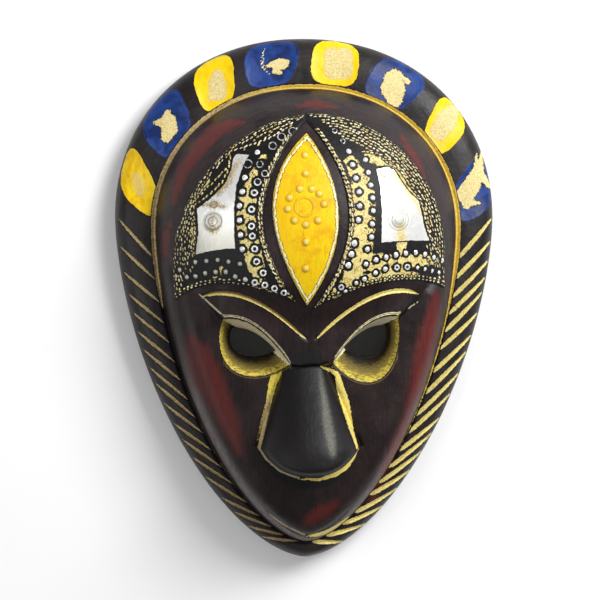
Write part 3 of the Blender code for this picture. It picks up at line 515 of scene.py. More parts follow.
def rim_height(x, y):
    share = rim_share(x, y)
    height = RIM_EDGE_HEIGHT + (RIM_CROWN_HEIGHT - RIM_EDGE_HEIGHT) * (1 - clamp(share) ** 3) ** 0.5
    from_face = -egg_inset(x, y, FACE)
    height = height - groove(from_face - RIM_GROOVE_WIDTH / 2, RIM_GROOVE_WIDTH, RIM_GROOVE_DEPTH)
    degrees = rim_degrees(x, y)
    for cell in CREST_CELLS:
        fraction = clamp(cell_fraction(cell, degrees, share))
        height = height - CELL_DEPTH * (1 - fraction**3)
    return height - cut_depth(x, y)


def front_height(x, y):
    return np.where(egg_fraction(x, y, FACE) < 1, face_height(x, y), rim_height(x, y))


def back_height(x, y):
    """The hollow back: flat under the rim, then up under the face at the wall's thickness."""
    fraction = clamp(egg_fraction(x, y, HOLLOW))
    return (skin_height(x, y) - WALL) * (1 - fraction**HOLLOW_POWER) ** 0.5


def eye_outline(sign, down=0.0, lid_steps=10, drop_steps=14):
    """One side's eye in its half's frame, at a share of the way down the funnel to the hole."""
    inner, outer = np.array(EYE_INNER_CORNER), np.array(EYE_OUTER_CORNER)
    lowest = np.array(LEFT_EYE_DROP if sign < 0 else RIGHT_EYE_DROP)
    middle, half = (inner + outer) / 2, (outer - inner) / 2
    points = []
    for step in range(lid_steps):
        across = inner[0] + (outer[0] - inner[0]) * step / lid_steps
        points.append((across, float(lid_line(np.array(across)))))
    for step in range(drop_steps):
        angle = math.pi * step / drop_steps
        drop = math.sin(angle) ** EYE_DROP_POWER
        points.append(tuple(middle + half * math.cos(angle) + lowest * drop))
    points = np.array(points)
    hole = EYE_HOLE_MIDDLE + (points - EYE_MIDDLE) * EYE_HOLE_SHARE
    return points + (hole - points) * down


def inside(points, loop):
    """Which points lie inside a closed loop."""
    found = np.zeros(len(points), dtype=bool)
    x, y = points[:, 0], points[:, 1]
    for start, end in zip(loop, np.roll(loop, -1, axis=0)):
        crosses = (start[1] > y) != (end[1] > y)
        slope = (end[0] - start[0]) / (end[1] - start[1] if end[1] != start[1] else 1e-12)
        found ^= crosses & (x < start[0] + (y - start[1]) * slope)
    return found


def distance_to(points, lines):
    """The distance from each point to the nearest of some lines."""
    nearest = np.full(len(points), np.inf)
    for path, closed in lines:
        ends = np.roll(path, -1, axis=0) if closed else path[1:]
        for start, end in zip(path, ends):
            run = end - start
            along = clamp(((points - start) @ run) / max(float(run @ run), 1e-12))
            gap = points - start - along[:, None] * run
            nearest = np.minimum(nearest, np.hypot(gap[:, 0], gap[:, 1]))
    return nearest


def grid_points(limit, spacing):
    """A grid of even triangles over the plan."""
    rows = int(limit / (spacing * math.sqrt(3) / 2)) + 1
    columns = int(limit / spacing) + 1
    return np.array([
        ((column + 0.5 * (row % 2)) * spacing, row * spacing * math.sqrt(3) / 2)
        for row in range(-rows, rows + 1)
        for column in range(-columns, columns + 1)
    ])


def triangulate(lines, loose):
    """Triangles over the plan that keep every line as edges."""
    points, edges = [], []
    for path, closed in lines:
        first = len(points)
        points += [Vector(point) for point in path]
        edges += [(first + k, first + k + 1) for k in range(len(path) - 1)]
        if closed:
            edges.append((first + len(path) - 1, first))
    points += [Vector(point) for point in loose]
    found = delaunay_2d_cdt(points, edges, [], 0, 1e-6, False)
    corners = np.array([tuple(point) for point in found[0]])
    return corners, np.array([tuple(face) for face in found[2]])


def keep_inside(corners, faces, outline, holes=()):
    middles = corners[faces].mean(axis=1)
    keep = inside(middles, outline)
    for hole in holes:
        keep &= ~inside(middles, hole)
    faces = faces[keep]
    a, b, c = (corners[faces[:, k]] for k in range(3))
    turn = (b[:, 0] - a[:, 0]) * (c[:, 1] - a[:, 1]) - (b[:, 1] - a[:, 1]) * (c[:, 0] - a[:, 0])
    faces = faces[np.abs(turn) > 1e-14]
    turn = turn[np.abs(turn) > 1e-14]
    faces[turn < 0] = faces[turn < 0][:, ::-1]
    return faces


def border_edges(faces):
    """The edges that only one face has, each in that face's direction."""
    edges = np.concatenate([faces[:, [0, 1]], faces[:, [1, 2]], faces[:, [2, 0]]])
    known = {tuple(edge) for edge in edges}
    return [tuple(edge) for edge in edges if (edge[1], edge[0]) not in known]


def plate_egg(side):
    """The curve that a forehead plate's top and temple edges follow, inside the face's outline."""
    return Egg(
        PLATE_WIDEST_AT,
        FACE.half_width - side.temple_margin,
        FACE.middle + FACE.above - side.crown_margin - PLATE_WIDEST_AT,
        PLATE_BELOW,
        side.power,
        PLATE_TEMPLE_POWER,
    )


def crossing(gap, low, high):
    """Where a gap between two lines closes, for a gap that is above zero at low and below it at high."""
    for _ in range(40):
        middle = (low + high) / 2
        low, high = (middle, high) if gap(middle) > 0 else (low, middle)
    return (low + high) / 2


def plate_foot(side, across):
    """The lower edge of a forehead plate, at a distance out from the face's middle."""
    peak_x, peak_y = side.peak
    inward = (peak_x - across) / (peak_x - PLATE_INNER_FOOT[0])
    outward = (across - peak_x) / (plate_egg(side).half_width - peak_x)
    inner = (peak_y - PLATE_INNER_FOOT[1]) * inward**2
    return peak_y - np.where(across < peak_x, inner, side.end_drop * outward**2)


def band_edge(side, y):
    """The edge of a forehead plate beside the lens, past the band of wood."""
    top = LENS_MIDDLE + LENS_HALF_HEIGHT + BAND_OVER_LENS
    bottom = LENS_MIDDLE - LENS_HALF_HEIGHT - BAND_UNDER_LENS
    along = (y - (top + bottom) / 2) / ((top - bottom) / 2)
    return side.sign * LENS_AXIS + (LENS_HALF_WIDTH + side.band) * (1 - along**2)


def plate_outline(side):
    """A forehead plate: over the top, down the temple, along the brow and up beside the lens."""
    egg = plate_egg(side)
    seam = side.sign * LENS_AXIS + SEAM / 2
    outer = crossing(
        lambda across: egg_x(egg, float(plate_foot(side, across))) - across, side.peak[0], egg.half_width
    )
    inner = crossing(
        lambda across: band_edge(side, float(plate_foot(side, across))) - across, 0, side.peak[0]
    )
    tip = crossing(lambda y: band_edge(side, y) - seam, LENS_MIDDLE, egg.middle + egg.above)
    start = math.acos(np.clip(abs(seam) / egg.half_width, 0, 1) ** (side.power / 2))
    outer_y = float(plate_foot(side, outer))
    points = [(seam, egg.middle + egg.above * math.sin(start) ** (2 / side.power))]
    for step in range(1, PLATE_TOP_STEPS):
        angle = start * (1 - step / PLATE_TOP_STEPS)
        points.append((
            egg.half_width * math.cos(angle) ** (2 / side.power),
            egg.middle + egg.above * math.sin(angle) ** (2 / side.power),
        ))
    for y in np.linspace(egg.middle, outer_y, PLATE_TEMPLE_STEPS):
        points.append((egg_x(egg, y), y))
    for across in np.linspace(outer, inner, PLATE_FOOT_STEPS)[1:]:
        points.append((across, float(plate_foot(side, across))))
    for y in np.linspace(float(plate_foot(side, inner)), tip, PLATE_BAND_STEPS)[1:]:
        points.append((float(band_edge(side, y)), y))
    points = np.array(points) * (side.sign, 1)
    return points if side.sign < 0 else points[::-1]


def lens_outline():
    """The lens plate's outline: its left side is fuller and leans up."""
    along = np.linspace(-1, 1, LENS_STEPS)
    leaning = along - LENS_LEFT_LEAN * (1 - along**2)
    up = LENS_MIDDLE + LENS_HALF_HEIGHT * along
    right = paired(LENS_AXIS + LENS_HALF_WIDTH * (1 - along**2), up)
    left = paired(LENS_AXIS - LENS_LEFT_HALF_WIDTH * (1 - leaning**2), up)
    return np.concatenate([right, left[1:-1][::-1]])


def raised_spots():
    """Middle, radius and height of each boss and dot raised on the plates."""
    spots = [(boss, BOSS_RADIUS, BOSS_HEIGHT) for boss in BOSSES]
    spots += [((RING_MIDDLE[0], LENS_MIDDLE + up), DOT_RADIUS, DOT_HEIGHT) for up in AXIS_DOTS_FROM_MIDDLE]
    for turn in RING_DOT_TURNS:
        angle = math.radians(turn)
        spot = np.array(RING_MIDDLE) + RING_RADIUS * np.array((math.cos(angle), math.sin(angle)))
        spots.append((spot, DOT_RADIUS, DOT_HEIGHT))
    return spots


def linear(red, green, blue):
    """A colour given as screen values from 0 to 255, as the light values that Blender works in."""
    shares = np.array((red, green, blue)) / 255
    light = np.where(shares <= 0.04045, shares / 12.92, ((shares + 0.055) / 1.055) ** 2.4)
    return tuple(float(part) for part in light)


def near_lines(spots, lines, clearance):
    """Which spots are closer than a clearance to the corners of some lines."""
    corners = np.concatenate([path for path, _ in lines])
    tree = KDTree(len(corners))
    for place, corner in enumerate(corners):
        tree.insert((corner[0], corner[1], 0.0), place)
    tree.balance()
    return np.array([tree.find((x, y, 0.0))[2] < clearance for x, y in spots])


def loose_points(spacing, egg, lines):
    """Grid points inside an egg that keep clear of some lines."""
    spots = grid_points(HEIGHT, spacing)
    spots = spots[egg_fraction(spots[:, 0], spots[:, 1], egg) < 1]
    return spots[~near_lines(spots, lines, spacing * LINE_CLEARANCE)]


def rim_lines():
    """Rings over the rim's outer edge, in the groove round the face and up the face's steep side."""
    face, rim = egg_points(FACE), egg_points(RIM)
    rings = [(face + (rim - face) * share, True) for share in (*FINE_RIM_SHARES, 1.0)]
    for offset in (0, RIM_GROOVE_WIDTH / 2, RIM_GROOVE_WIDTH):
        rings.append((egg_points(smaller(FACE, -offset)), True))
    for step in range(1, FINE_SHOULDER_STEPS):
        rise = SHOULDER_SHARE * step / FINE_SHOULDER_STEPS
        inset = SHOULDER_WIDTH * (1 - (1 - rise**2) ** (1 / SHOULDER_POWER))
        rings.append((egg_points(smaller(FACE, inset)), True))
    return rings


def cell_lines():
    """The outline of each crest cell and a line inside it, where its dish falls."""
    face, rim = egg_points(FACE), egg_points(RIM)
    rings = []
    for cell in CREST_CELLS:
        for scale in CELL_RING_SCALES:
            ring = []
            for turn in np.arange(CELL_STEPS) * 2 * math.pi / CELL_STEPS:
                over = scale * math.copysign(abs(math.sin(turn)) ** (2 / CELL_POWER), math.sin(turn))
                along = scale * math.copysign(abs(math.cos(turn)) ** (2 / CELL_POWER), math.cos(turn))
                share = (cell.share_from + cell.share_to + over * (cell.share_to - cell.share_from)) / 2
                start, stop = cell_ends(cell, (over + 1) / 2)
                path = face + (rim - face) * share
                degrees = rim_degrees(path[:, 0], path[:, 1])
                order = np.argsort(degrees)
                wanted = (start + stop + along * (stop - start)) / 2
                ring.append([np.interp(wanted, degrees[order], path[order, side]) for side in (0, 1)])
            rings.append((np.array(ring), True))
    return rings


def leaf_lines():
    """The outline and the middle line of each gouge cut."""
    shares = (1 - np.cos(np.linspace(0, math.pi, LEAF_LINE_STEPS))) / 2
    rings = []
    for start, end in cut_lines():
        run = end - start
        aside = np.array([-run[1], run[0]]) / np.hypot(*run) * CUT_WIDTH / 2
        middle = start + run * shares[:, None]
        bulge = aside * np.sqrt(np.maximum(4 * shares * (1 - shares), 0))[:, None]
        rings.append((np.concatenate([middle + bulge, (middle - bulge)[1:-1][::-1]]), True))
        rings.append((middle[1:-1], False))
    return rings


def brow_and_lid_lines():
    lines = []
    groove_run = np.linspace(BROW_GROOVE_INNER[0], BROW_GROOVE_OUTER[0], BROW_STEPS)
    tail = np.linspace(EYE_OUTER_CORNER[0], BROW_END[0], BROW_STEPS // 4)
    lid = np.linspace(EYE_INNER_CORNER[0], BROW_END[0], BROW_STEPS)
    for sign in (-1, 1):
        for offset in (-BROW_GROOVE_WIDTH / 2, 0, BROW_GROOVE_WIDTH / 2):
            path = paired(groove_run, brow_groove_line(groove_run) + offset)
            lines.append((from_half_frame(path, sign), False))
        for offset in LID_OFFSETS:
            run = lid if offset > 0 else lid[lid < EYE_OUTER_CORNER[0]]
            lines.append((from_half_frame(paired(run, lid_line(run) + offset), sign), False))
        for drop in (0, -BROW_EDGE_ROLL / 2, -BROW_EDGE_ROLL):
            lines.append((from_half_frame(paired(tail, lid_line(tail) + drop), sign), False))
    reach = EYE_INNER_CORNER[0]
    across = np.linspace(-reach, reach + RIGHT_HALF_SHIFT[0], BROW_STEPS // 4)
    for drop in (0, -BROW_EDGE_ROLL / 2, -BROW_EDGE_ROLL):
        lines.append((paired(across, lid_line(np.abs(across)) + drop), False))
    return lines


def nose_and_chin_lines():
    lines = []
    for share in NOSE_SIDE_SHARES:
        for over in (-share, share):
            y = np.linspace(NOSE_TOP[1] - BROW_EDGE_ROLL, nose_end(over) + NOSE_ROLL / 2, BROW_STEPS)
            _, middle, half_width = nose_section(y)
            lines.append((paired(middle + over * half_width, y), False))
    for beside in NOSE_BESIDE:
        for sign in (-1, 1):
            y = np.linspace(NOSE_TOP[1] - BROW_EDGE_ROLL, NOSE_FOOT[1], BROW_STEPS)
            _, middle, half_width = nose_section(y)
            lines.append((paired(middle + sign * (half_width + beside), y), False))
    across = np.sin(np.linspace(-1, 1, 2 * BROW_STEPS) * math.pi / 2)
    for share in NOSE_END_SHARES:
        y = nose_end(across) + share * NOSE_ROLL
        _, middle, half_width = nose_section(y)
        lines.append((paired(middle + across * half_width, y), False))
    for offset in (-CHIN_GROOVE_WIDTH / 2, 0, CHIN_GROOVE_WIDTH / 2):
        ring = egg_points(smaller(FACE, CHIN_GROOVE_INSET + offset))
        near = ring[(np.abs(ring[:, 0]) < CHIN_GROOVE_REACH) & (ring[:, 1] < NOSE_FOOT[1])]
        lines.append((near[np.argsort(near[:, 0])], False))
    return lines


def fine_eye_loops(sign):
    """The eye's outline, lines down its funnel, and its hole."""
    return [from_half_frame(eye_outline(sign, depth, LID_STEPS, DROP_STEPS), sign) for depth in EYE_DEPTHS]


def funnel_share(corners, loops):
    """How far down an eye's funnel each point is: 0 on its outline and outside it, 1 at its hole."""
    outer, hole = loops[0], loops[-1]
    share = np.zeros(len(corners))
    within = np.flatnonzero(inside(corners, outer))
    spots = corners[within]
    to_outer = distance_to(spots, [(outer, True)])
    to_hole = distance_to(spots, [(hole, True)])
    to_hole[inside(spots, hole)] = 0
    share[within] = to_outer / np.maximum(to_outer + to_hole, 1e-9)
    return share


def outside_by(corners, loops, reach):
    """How far a point is outside an eye's outline, up to a reach, and below zero inside it."""
    outer = loops[0]
    low, high = outer.min(axis=0) - reach, outer.max(axis=0) + reach
    gap = np.full(len(corners), reach)
    near = np.flatnonzero(np.all((corners > low) & (corners < high), axis=1))
    distance = distance_to(corners[near], [(outer, True)])
    gap[near] = np.where(inside(corners[near], outer), -distance, np.minimum(distance, reach))
    return gap


# Paint on the wood. Patches and lines are points with a half width there, all in millimetres
OXBLOOD_PATCHES = (
    ((-5.4, 99.6, 1.1), (-0.6, 100.8, 2.1), (4.6, 100.6, 2.1), (9.8, 99.8, 1.3), (14.6, 99.3, 0.5)),
    ((-34.5, 91.0, 1.1), (-41.2, 90.2, 3.2), (-48.5, 87.3, 4.5), (-54.7, 81.0, 4.2), (-59.9, 74.1, 3.7),
     (-65.1, 66.4, 3.2), (-68.7, 57.0, 2.1), (-70.6, 49.2, 1.1)),
    ((-72.9, 39.3, 0.8), (-74.3, 32.1, 1.6), (-75.1, 24.9, 1.3), (-74.6, 18.6, 0.5)),
    ((48.7, 83.4, 1.1), (52.6, 77.0, 2.1), (56.7, 70.1, 1.9), (60.3, 62.3, 0.8)),
    ((-61.5, -21.0, 2.2), (-58.0, -30.0, 6.6), (-54.0, -39.5, 8.2), (-49.5, -48.5, 7.4), (-45.0, -58.0, 5.6),
     (-41.0, -68.0, 4.6), (-36.6, -80.0, 1.8)),
    ((66.5, 0.7, 2.0), (64.6, -10.8, 4.4), (62.0, -22.3, 5.2), (59.4, -33.8, 4.8), (56.8, -45.8, 3.8),
     (53.8, -55.2, 2.6)),
    ((54.5, -50.9, 1.6), (52.0, -64.1, 2.6), (46.5, -77.3, 2.8), (40.5, -90.8, 2.6), (35.0, -108.4, 1.2)),
    ((-1.6, -118.0, 1.2), (1.4, -115.5, 3.0), (6.7, -111.8, 3.9), (12.9, -108.6, 2.4)),
)
NOSE_BLACK = ((-2.9, -38.0, 10.5), (-1.6, -60.0, 19.5), (-0.6, -74.0, 26.0))
# The nose's sheen is a painted highlight: a grey stripe down the nose
NOSE_SHEEN = (
    (4.9, -36.6, 0.8), (5.5, -44.5, 1.7), (6.6, -52.5, 2.3), (7.6, -61.4, 2.9), (8.8, -70.2, 3.3),
    (10.0, -79.0, 2.2),
)

# Painted lines beside and under the nose and on the chin, and the thin ones past the eyes
NOSE_STRIP_LEFT = (
    (-14.6, -33.6, 1.2), (-17.2, -38.6, 2.6), (-19.4, -45.4, 2.1), (-21.6, -55.7, 1.3), (-23.7, -66.1, 0.9),
    (-26.4, -77.8, 0.5),
)
NOSE_SPECKS_LEFT = ((-20.6, -50.0, 0.1), (-22.6, -56.5, 0.8), (-24.9, -65.0, 0.6), (-27.1, -74.4, 0.2))
NOSE_STRIP_RIGHT = (
    (5.0, -35.6, 0.4), (10.1, -37.5, 0.8), (14.2, -39.8, 1.3), (16.0, -47.0, 2.0), (18.4, -55.4, 2.4),
    (20.7, -65.9, 1.6), (23.8, -77.3, 0.6),
)
FOOT_LINE_LEFT = ((-26.4, -77.8, 0.5), (-22.6, -83.6, 0.6), (-15.2, -90.0, 0.65), (-4.5, -94.2, 0.6))
FOOT_LINE_RIGHT = (
    (-4.5, -94.2, 0.4), (5.4, -94.6, 0.8), (13.2, -92.0, 1.3), (18.6, -87.6, 1.9), (22.6, -82.6, 1.2),
    (25.0, -78.2, 0.5),
)
CHIN_LINE_LEFT = ((-21.2, -112.5, 0.1), (-18.0, -115.6, 0.45), (-12.2, -119.6, 0.55), (-1.1, -125.3, 0.6))
CHIN_LINE_RIGHT = (
    (-1.1, -125.5, 0.3), (3.6, -125.3, 1.0), (9.0, -124.2, 1.4), (14.6, -121.6, 1.4), (20.2, -117.6, 0.9),
    (22.4, -115.6, 0.2),
)
TEMPLE_LINES = (
    ((-57.4, 1.8, 0.3), (-51.6, -3.4, 0.5), (-46.0, -8.5, 0.4)),
    ((48.8, -7.8, 0.1), (53.6, -4.4, 0.45), (57.3, -1.9, 0.2)),
)

# Cream daubs in the crest cells, and a trail of dots beside one
SOFT_DAUBS = (
    ((-90.6, 64.5, 2.0), (-89.4, 60.9, 3.3), (-88.3, 56.4, 2.5)),
    ((-47.4, 118.6, 2.9), (-47.7, 113.6, 4.6), (-46.9, 109.1, 4.2), (-50.2, 107.4, 2.3)),
    ((14.2, 130.2, 4.2), (14.0, 121.2, 4.2), (20.5, 121.2, 4.2), (20.7, 130.3, 4.2)),
    ((79.6, 100.7, 3.6), (75.9, 95.4, 5.8), (71.4, 89.1, 4.7)),
)
CRISP_DAUBS = (
    ((-73.9, 98.6, 1.6), (-73.6, 94.2, 3.9), (-73.1, 89.6, 4.4), (-74.7, 85.0, 2.6)),
    ((-80.8, 93.3, 1.1), (-77.2, 92.9, 2.3), (-73.9, 91.9, 3.3)),
    ((-21.0, 123.5, 0.9), (-18.1, 124.5, 1.9), (-14.2, 124.5, 3.4), (-11.1, 125.1, 2.4)),
    ((-16.9, 120.9, 1.4), (-14.0, 120.3, 1.3)),
    ((47.8, 122.0, 1.3), (46.5, 117.4, 4.8), (46.7, 112.2, 6.6), (47.4, 106.7, 4.6), (44.4, 102.9, 1.6)),
    ((49.3, 121.6, 0.8), (55.3, 115.8, 1.3)),
    ((96.7, 80.4, 0.6), (94.7, 73.7, 1.8), (93.4, 67.5, 3.7), (89.8, 61.2, 4.8), (85.8, 55.4, 5.0),
     (86.4, 50.0, 2.4)),
    ((96.2, 64.8, 2.2), (99.6, 60.2, 1.3)),
    ((92.2, 77.4, 0.6), (91.5, 71.2, 0.9)),
    ((87.9, 50.6, 1.9), (93.6, 51.0, 0.7)),
)
DAUB_TRAIL = ((-22.0, 133.7, 0.6), (-23.3, 128.7, 1.2), (-23.3, 123.8, 1.2), (-20.1, 119.3, 0.8))

# Half widths of the painted lines, at places along them, in millimetres
Widths = namedtuple("Widths", "places halves")
CREST_LINE = Widths((-96, -80, -40, -6, 4, 20, 50, 110), (-1.0, 0.1, 0.3, 0.4, 0.8, 1.3, 1.45, 1.25))
CREST_LINE_LEFT = Widths((-12, -4, 6, 24, 60, 110), (-1.0, 0.45, 0.9, 1.1, 1.2, 1.15))
BROW_LINE = Widths((0, 2.5, 5, 10, 44, 52, 55.5, 58), (-1.0, 0.4, 0.9, 1.15, 1.15, 0.9, 0.2, -2.0))
BROW_LINE_INSET = 0.5

# How the paint fills the gouge cuts and lies along the lids
CUT_PAINT_SHARE = 0.86
RIGHT_CUT_SWELL = 1.7
RIGHT_CUT_START = 0.15
RIGHT_CUT_TAPER = 5
RIGHT_CUT_END = 1.04
CRESCENT_HALF = 2.6
CRESCENT_POWER = 0.6
LID_GAP = 0.6

# The greatest distance, in millimetres, that a number on the mesh tells
FAR = 9.0


def along_path(x, y, path):
    """Millimetres inside a stroke that is given as points with a half width: above zero inside it."""
    best = np.full(len(x), -FAR)
    for (ax, ay, a_half), (bx, by, b_half) in zip(path, path[1:]):
        run = np.array((bx - ax, by - ay))
        share = clamp(((x - ax) * run[0] + (y - ay) * run[1]) / max(float(run @ run), 1e-9))
        gap = np.hypot(x - ax - share * run[0], y - ay - share * run[1])
        best = np.maximum(best, a_half + (b_half - a_half) * share - gap)
    return best


def along_paths(x, y, paths):
    """Millimetres inside the nearest of some strokes."""
    return np.max([along_path(x, y, path) for path in paths], axis=0)


def half_width_at(places, widths):
    return np.interp(places, widths.places, widths.halves)


def cell_fields(x, y):
    """Millimetres inside the yellow cells and inside the blue ones; the cells take turns from the left."""
    share, degrees = rim_share(x, y), rim_degrees(x, y)
    fields = [np.full(len(x), -FAR), np.full(len(x), -FAR)]
    for place, cell in enumerate(CREST_CELLS):
        reach = TO_MM * (cell.share_to - cell.share_from) / 2 * RIM_AT_CREST
        inside_by = (1 - cell_fraction(cell, degrees, share)) * reach
        fields[place % 2] = np.maximum(fields[place % 2], inside_by)
    return fields


def cut_field(x, y):
    """Millimetres inside the paint of the nearest gouge cut. On the right the paint is blunt at both ends."""
    best = np.full(len(x), -FAR)
    for start, end in cut_lines():
        along, aside, length = beside_line(x, y, start, end)
        leaf = np.sqrt(clamp(4 * along * (1 - along)))
        if start[0] > 0:
            swell = clamp(RIGHT_CUT_SWELL * along + RIGHT_CUT_START)
            leaf = np.sqrt(swell) * np.sqrt(clamp(RIGHT_CUT_TAPER * (RIGHT_CUT_END - along)))
        past = np.maximum(np.maximum(-along, along - 1), 0) * length
        best = np.maximum(best, TO_MM * (CUT_WIDTH / 2 * CUT_PAINT_SHARE * leaf - aside - past))
    return best


def wood_paint(corners):
    """The numbers that the painted wood's material reads, for points of the plan."""
    x, y = corners[:, 0], corners[:, 1]
    x_mm, y_mm = TO_MM * x, TO_MM * y
    inset = TO_MM * egg_inset(x, y, FACE)
    across, up = half_frame(x, y)
    lid = TO_MM * (up - lid_line(across))
    line_half = np.where(x < 0, half_width_at(y_mm, CREST_LINE_LEFT), half_width_at(y_mm, CREST_LINE))
    along_lid = (across > EYE_INNER_CORNER[0]) & (across < EYE_OUTER_CORNER[0])
    past_lid = (across >= EYE_OUTER_CORNER[0]) & (across < BROW_END[0])
    lid_share = clamp((across - EYE_INNER_CORNER[0]) / (EYE_OUTER_CORNER[0] - EYE_INNER_CORNER[0]))
    crescent_half = CRESCENT_HALF * (4 * lid_share * (1 - lid_share)) ** CRESCENT_POWER
    crescent = crescent_half - np.abs(lid + LID_GAP + crescent_half)
    yellow, blue = cell_fields(x, y)
    loops = [fine_eye_loops(sign) for sign in (-1, 1)]
    funnel = np.maximum(*(funnel_share(corners, pair) for pair in loops))
    eye = np.minimum(*(TO_MM * outside_by(corners, pair, FAR * MM) for pair in loops))
    brow = TO_MM * (up - brow_groove_line(across))
    brow_half = half_width_at(TO_MM * across, BROW_LINE)
    return {
        "inset": inset,
        "around": TO_MM * np.arctan2(y - FACE_WIDEST_AT, x) * (HEIGHT + WIDTH) / 4,
        "crest_line": np.maximum(line_half - np.abs(inset + TO_MM * RIM_GROOVE_WIDTH / 2), -FAR),
        "yellow_cell": yellow,
        "blue_cell": blue,
        "soft_daub": along_paths(x_mm, y_mm, SOFT_DAUBS),
        "crisp_daub": along_paths(x_mm, y_mm, CRISP_DAUBS),
        "trail": along_path(x_mm, y_mm, DAUB_TRAIL),
        "cut": cut_field(x, y),
        "brow_line": np.where(inset > BROW_LINE_INSET, np.maximum(brow_half - np.abs(brow), -FAR), -FAR),
        "brow_side": brow,
        "lid": np.where(along_lid | (past_lid & (lid > 0)), lid, FAR),
        "crescent": np.where(along_lid, np.maximum(crescent, -FAR), -FAR),
        "eye": eye,
        "funnel": funnel,
        "left_strip": along_path(x_mm, y_mm, NOSE_STRIP_LEFT),
        "left_specks": along_path(x_mm, y_mm, NOSE_SPECKS_LEFT),
        "right_strip": along_path(x_mm, y_mm, NOSE_STRIP_RIGHT),
        "dull_line": along_paths(x_mm, y_mm, (FOOT_LINE_LEFT, CHIN_LINE_LEFT)),
        "bright_line": along_paths(x_mm, y_mm, (FOOT_LINE_RIGHT, CHIN_LINE_RIGHT)),
        "temple_line": along_paths(x_mm, y_mm, TEMPLE_LINES),
        "oxblood": along_paths(x_mm, y_mm, OXBLOOD_PATCHES),
        "nose": along_path(x_mm, y_mm, NOSE_BLACK),
        "sheen": along_path(x_mm, y_mm, NOSE_SHEEN),
    }


def add_piece(name, points, faces, fields, materials, material_of_face=None):
    """A mesh object from arrays, with its named numbers and materials."""
    mesh = bpy.data.meshes.new(name)
    mesh.vertices.add(len(points))
    mesh.vertices.foreach_set("co", np.asarray(points, dtype=np.float32).ravel())
    mesh.loops.add(3 * len(faces))
    mesh.loops.foreach_set("vertex_index", np.asarray(faces, dtype=np.int32).ravel())
    mesh.polygons.add(len(faces))
    mesh.polygons.foreach_set("loop_start", np.arange(0, 3 * len(faces), 3, dtype=np.int32))
    for material in materials:
        mesh.materials.append(material)
    if material_of_face is not None:
        mesh.polygons.foreach_set("material_index", np.asarray(material_of_face, dtype=np.int32))
    for field, values in fields.items():
        mesh.attributes.new(field, "FLOAT", "POINT").data.foreach_set("value", values.astype(np.float32))
    mesh.update(calc_edges=True)
    mesh.validate()
    mesh.shade_smooth()
    mesh.set_sharp_from_angle(angle=math.radians(SHARP_ANGLE))
    piece = bpy.data.objects.new(name, mesh)
    bpy.context.scene.collection.objects.link(piece)
    return piece


def closed_between(front, back):
    """Points and faces of a body from a front and a back with the same border in plan."""
    corners, faces, heights = front
    back_corners, back_faces, back_heights = back
    shift = len(corners)
    under = {tuple(np.round(spot, 7)): shift + place for place, spot in enumerate(back_corners)}
    walls = []
    for a, b in border_edges(faces):
        below_a, below_b = under[tuple(np.round(corners[a], 7))], under[tuple(np.round(corners[b], 7))]
        walls += [(b, a, below_a), (b, below_a, below_b)]
    front_points = np.column_stack([corners, heights])
    points = np.concatenate([front_points, np.column_stack([back_corners, back_heights])])
    return points, faces, np.array(walls), back_faces[:, ::-1] + shift


def only_used(points, faces):
    """The points that some face uses, the faces renumbered to them, and which points they are."""
    used, renumbered = np.unique(faces, return_inverse=True)
    return points[used], renumbered.reshape(faces.shape), used


def carved_wood(spacing, back_spacing):
    """The fine carved body: points, faces, and which faces are the hollow."""
    outline = egg_points(RIM)
    eyes = [fine_eye_loops(sign) for sign in (-1, 1)]
    holes = [loops[-1] for loops in eyes]
    lines = rim_lines() + cell_lines() + leaf_lines() + brow_and_lid_lines() + nose_and_chin_lines()
    lines += [(loop, True) for loops in eyes for loop in loops]
    loose = loose_points(spacing, RIM, lines)
    corners, faces = triangulate(lines, loose)
    faces = keep_inside(corners, faces, outline, holes)
    heights = front_height(corners[:, 0], corners[:, 1])
    for loops in eyes:
        share = funnel_share(corners, loops)
        heights = heights + (EYE_HOLE_HEIGHT - heights) * share
    border = [(corners[[a, b]], False) for a, b in border_edges(faces)]
    rings = [(egg_points(smaller(HOLLOW, inset), RING_STEPS // 2), True) for inset in BACK_RING_INSETS]
    hole_lines = [(hole, True) for hole in holes]
    loose = loose_points(back_spacing, RIM, border + rings + hole_lines)
    rings = [(path[~near_lines(path, hole_lines, back_spacing / 2)], False) for path, _ in rings]
    back_corners, back_faces = triangulate(border, np.concatenate([path for path, _ in rings] + [loose]))
    back_faces = keep_inside(back_corners, back_faces, outline, holes)
    back_heights = back_height(back_corners[:, 0], back_corners[:, 1])
    points, front, walls, hollow = closed_between(
        (corners, faces, heights), (back_corners, back_faces, back_heights)
    )
    wall_x, wall_y = points[walls][:, :, 0].mean(axis=1), points[walls][:, :, 1].mean(axis=1)
    outer_wall = egg_fraction(wall_x, wall_y, RIM) > OUTER_WALL_FROM
    faces = np.concatenate([front, walls, hollow])
    bare = np.concatenate([np.zeros(len(front)), ~outer_wall, np.ones(len(hollow))])
    points, faces, _ = only_used(points, faces)
    return points, faces, bare


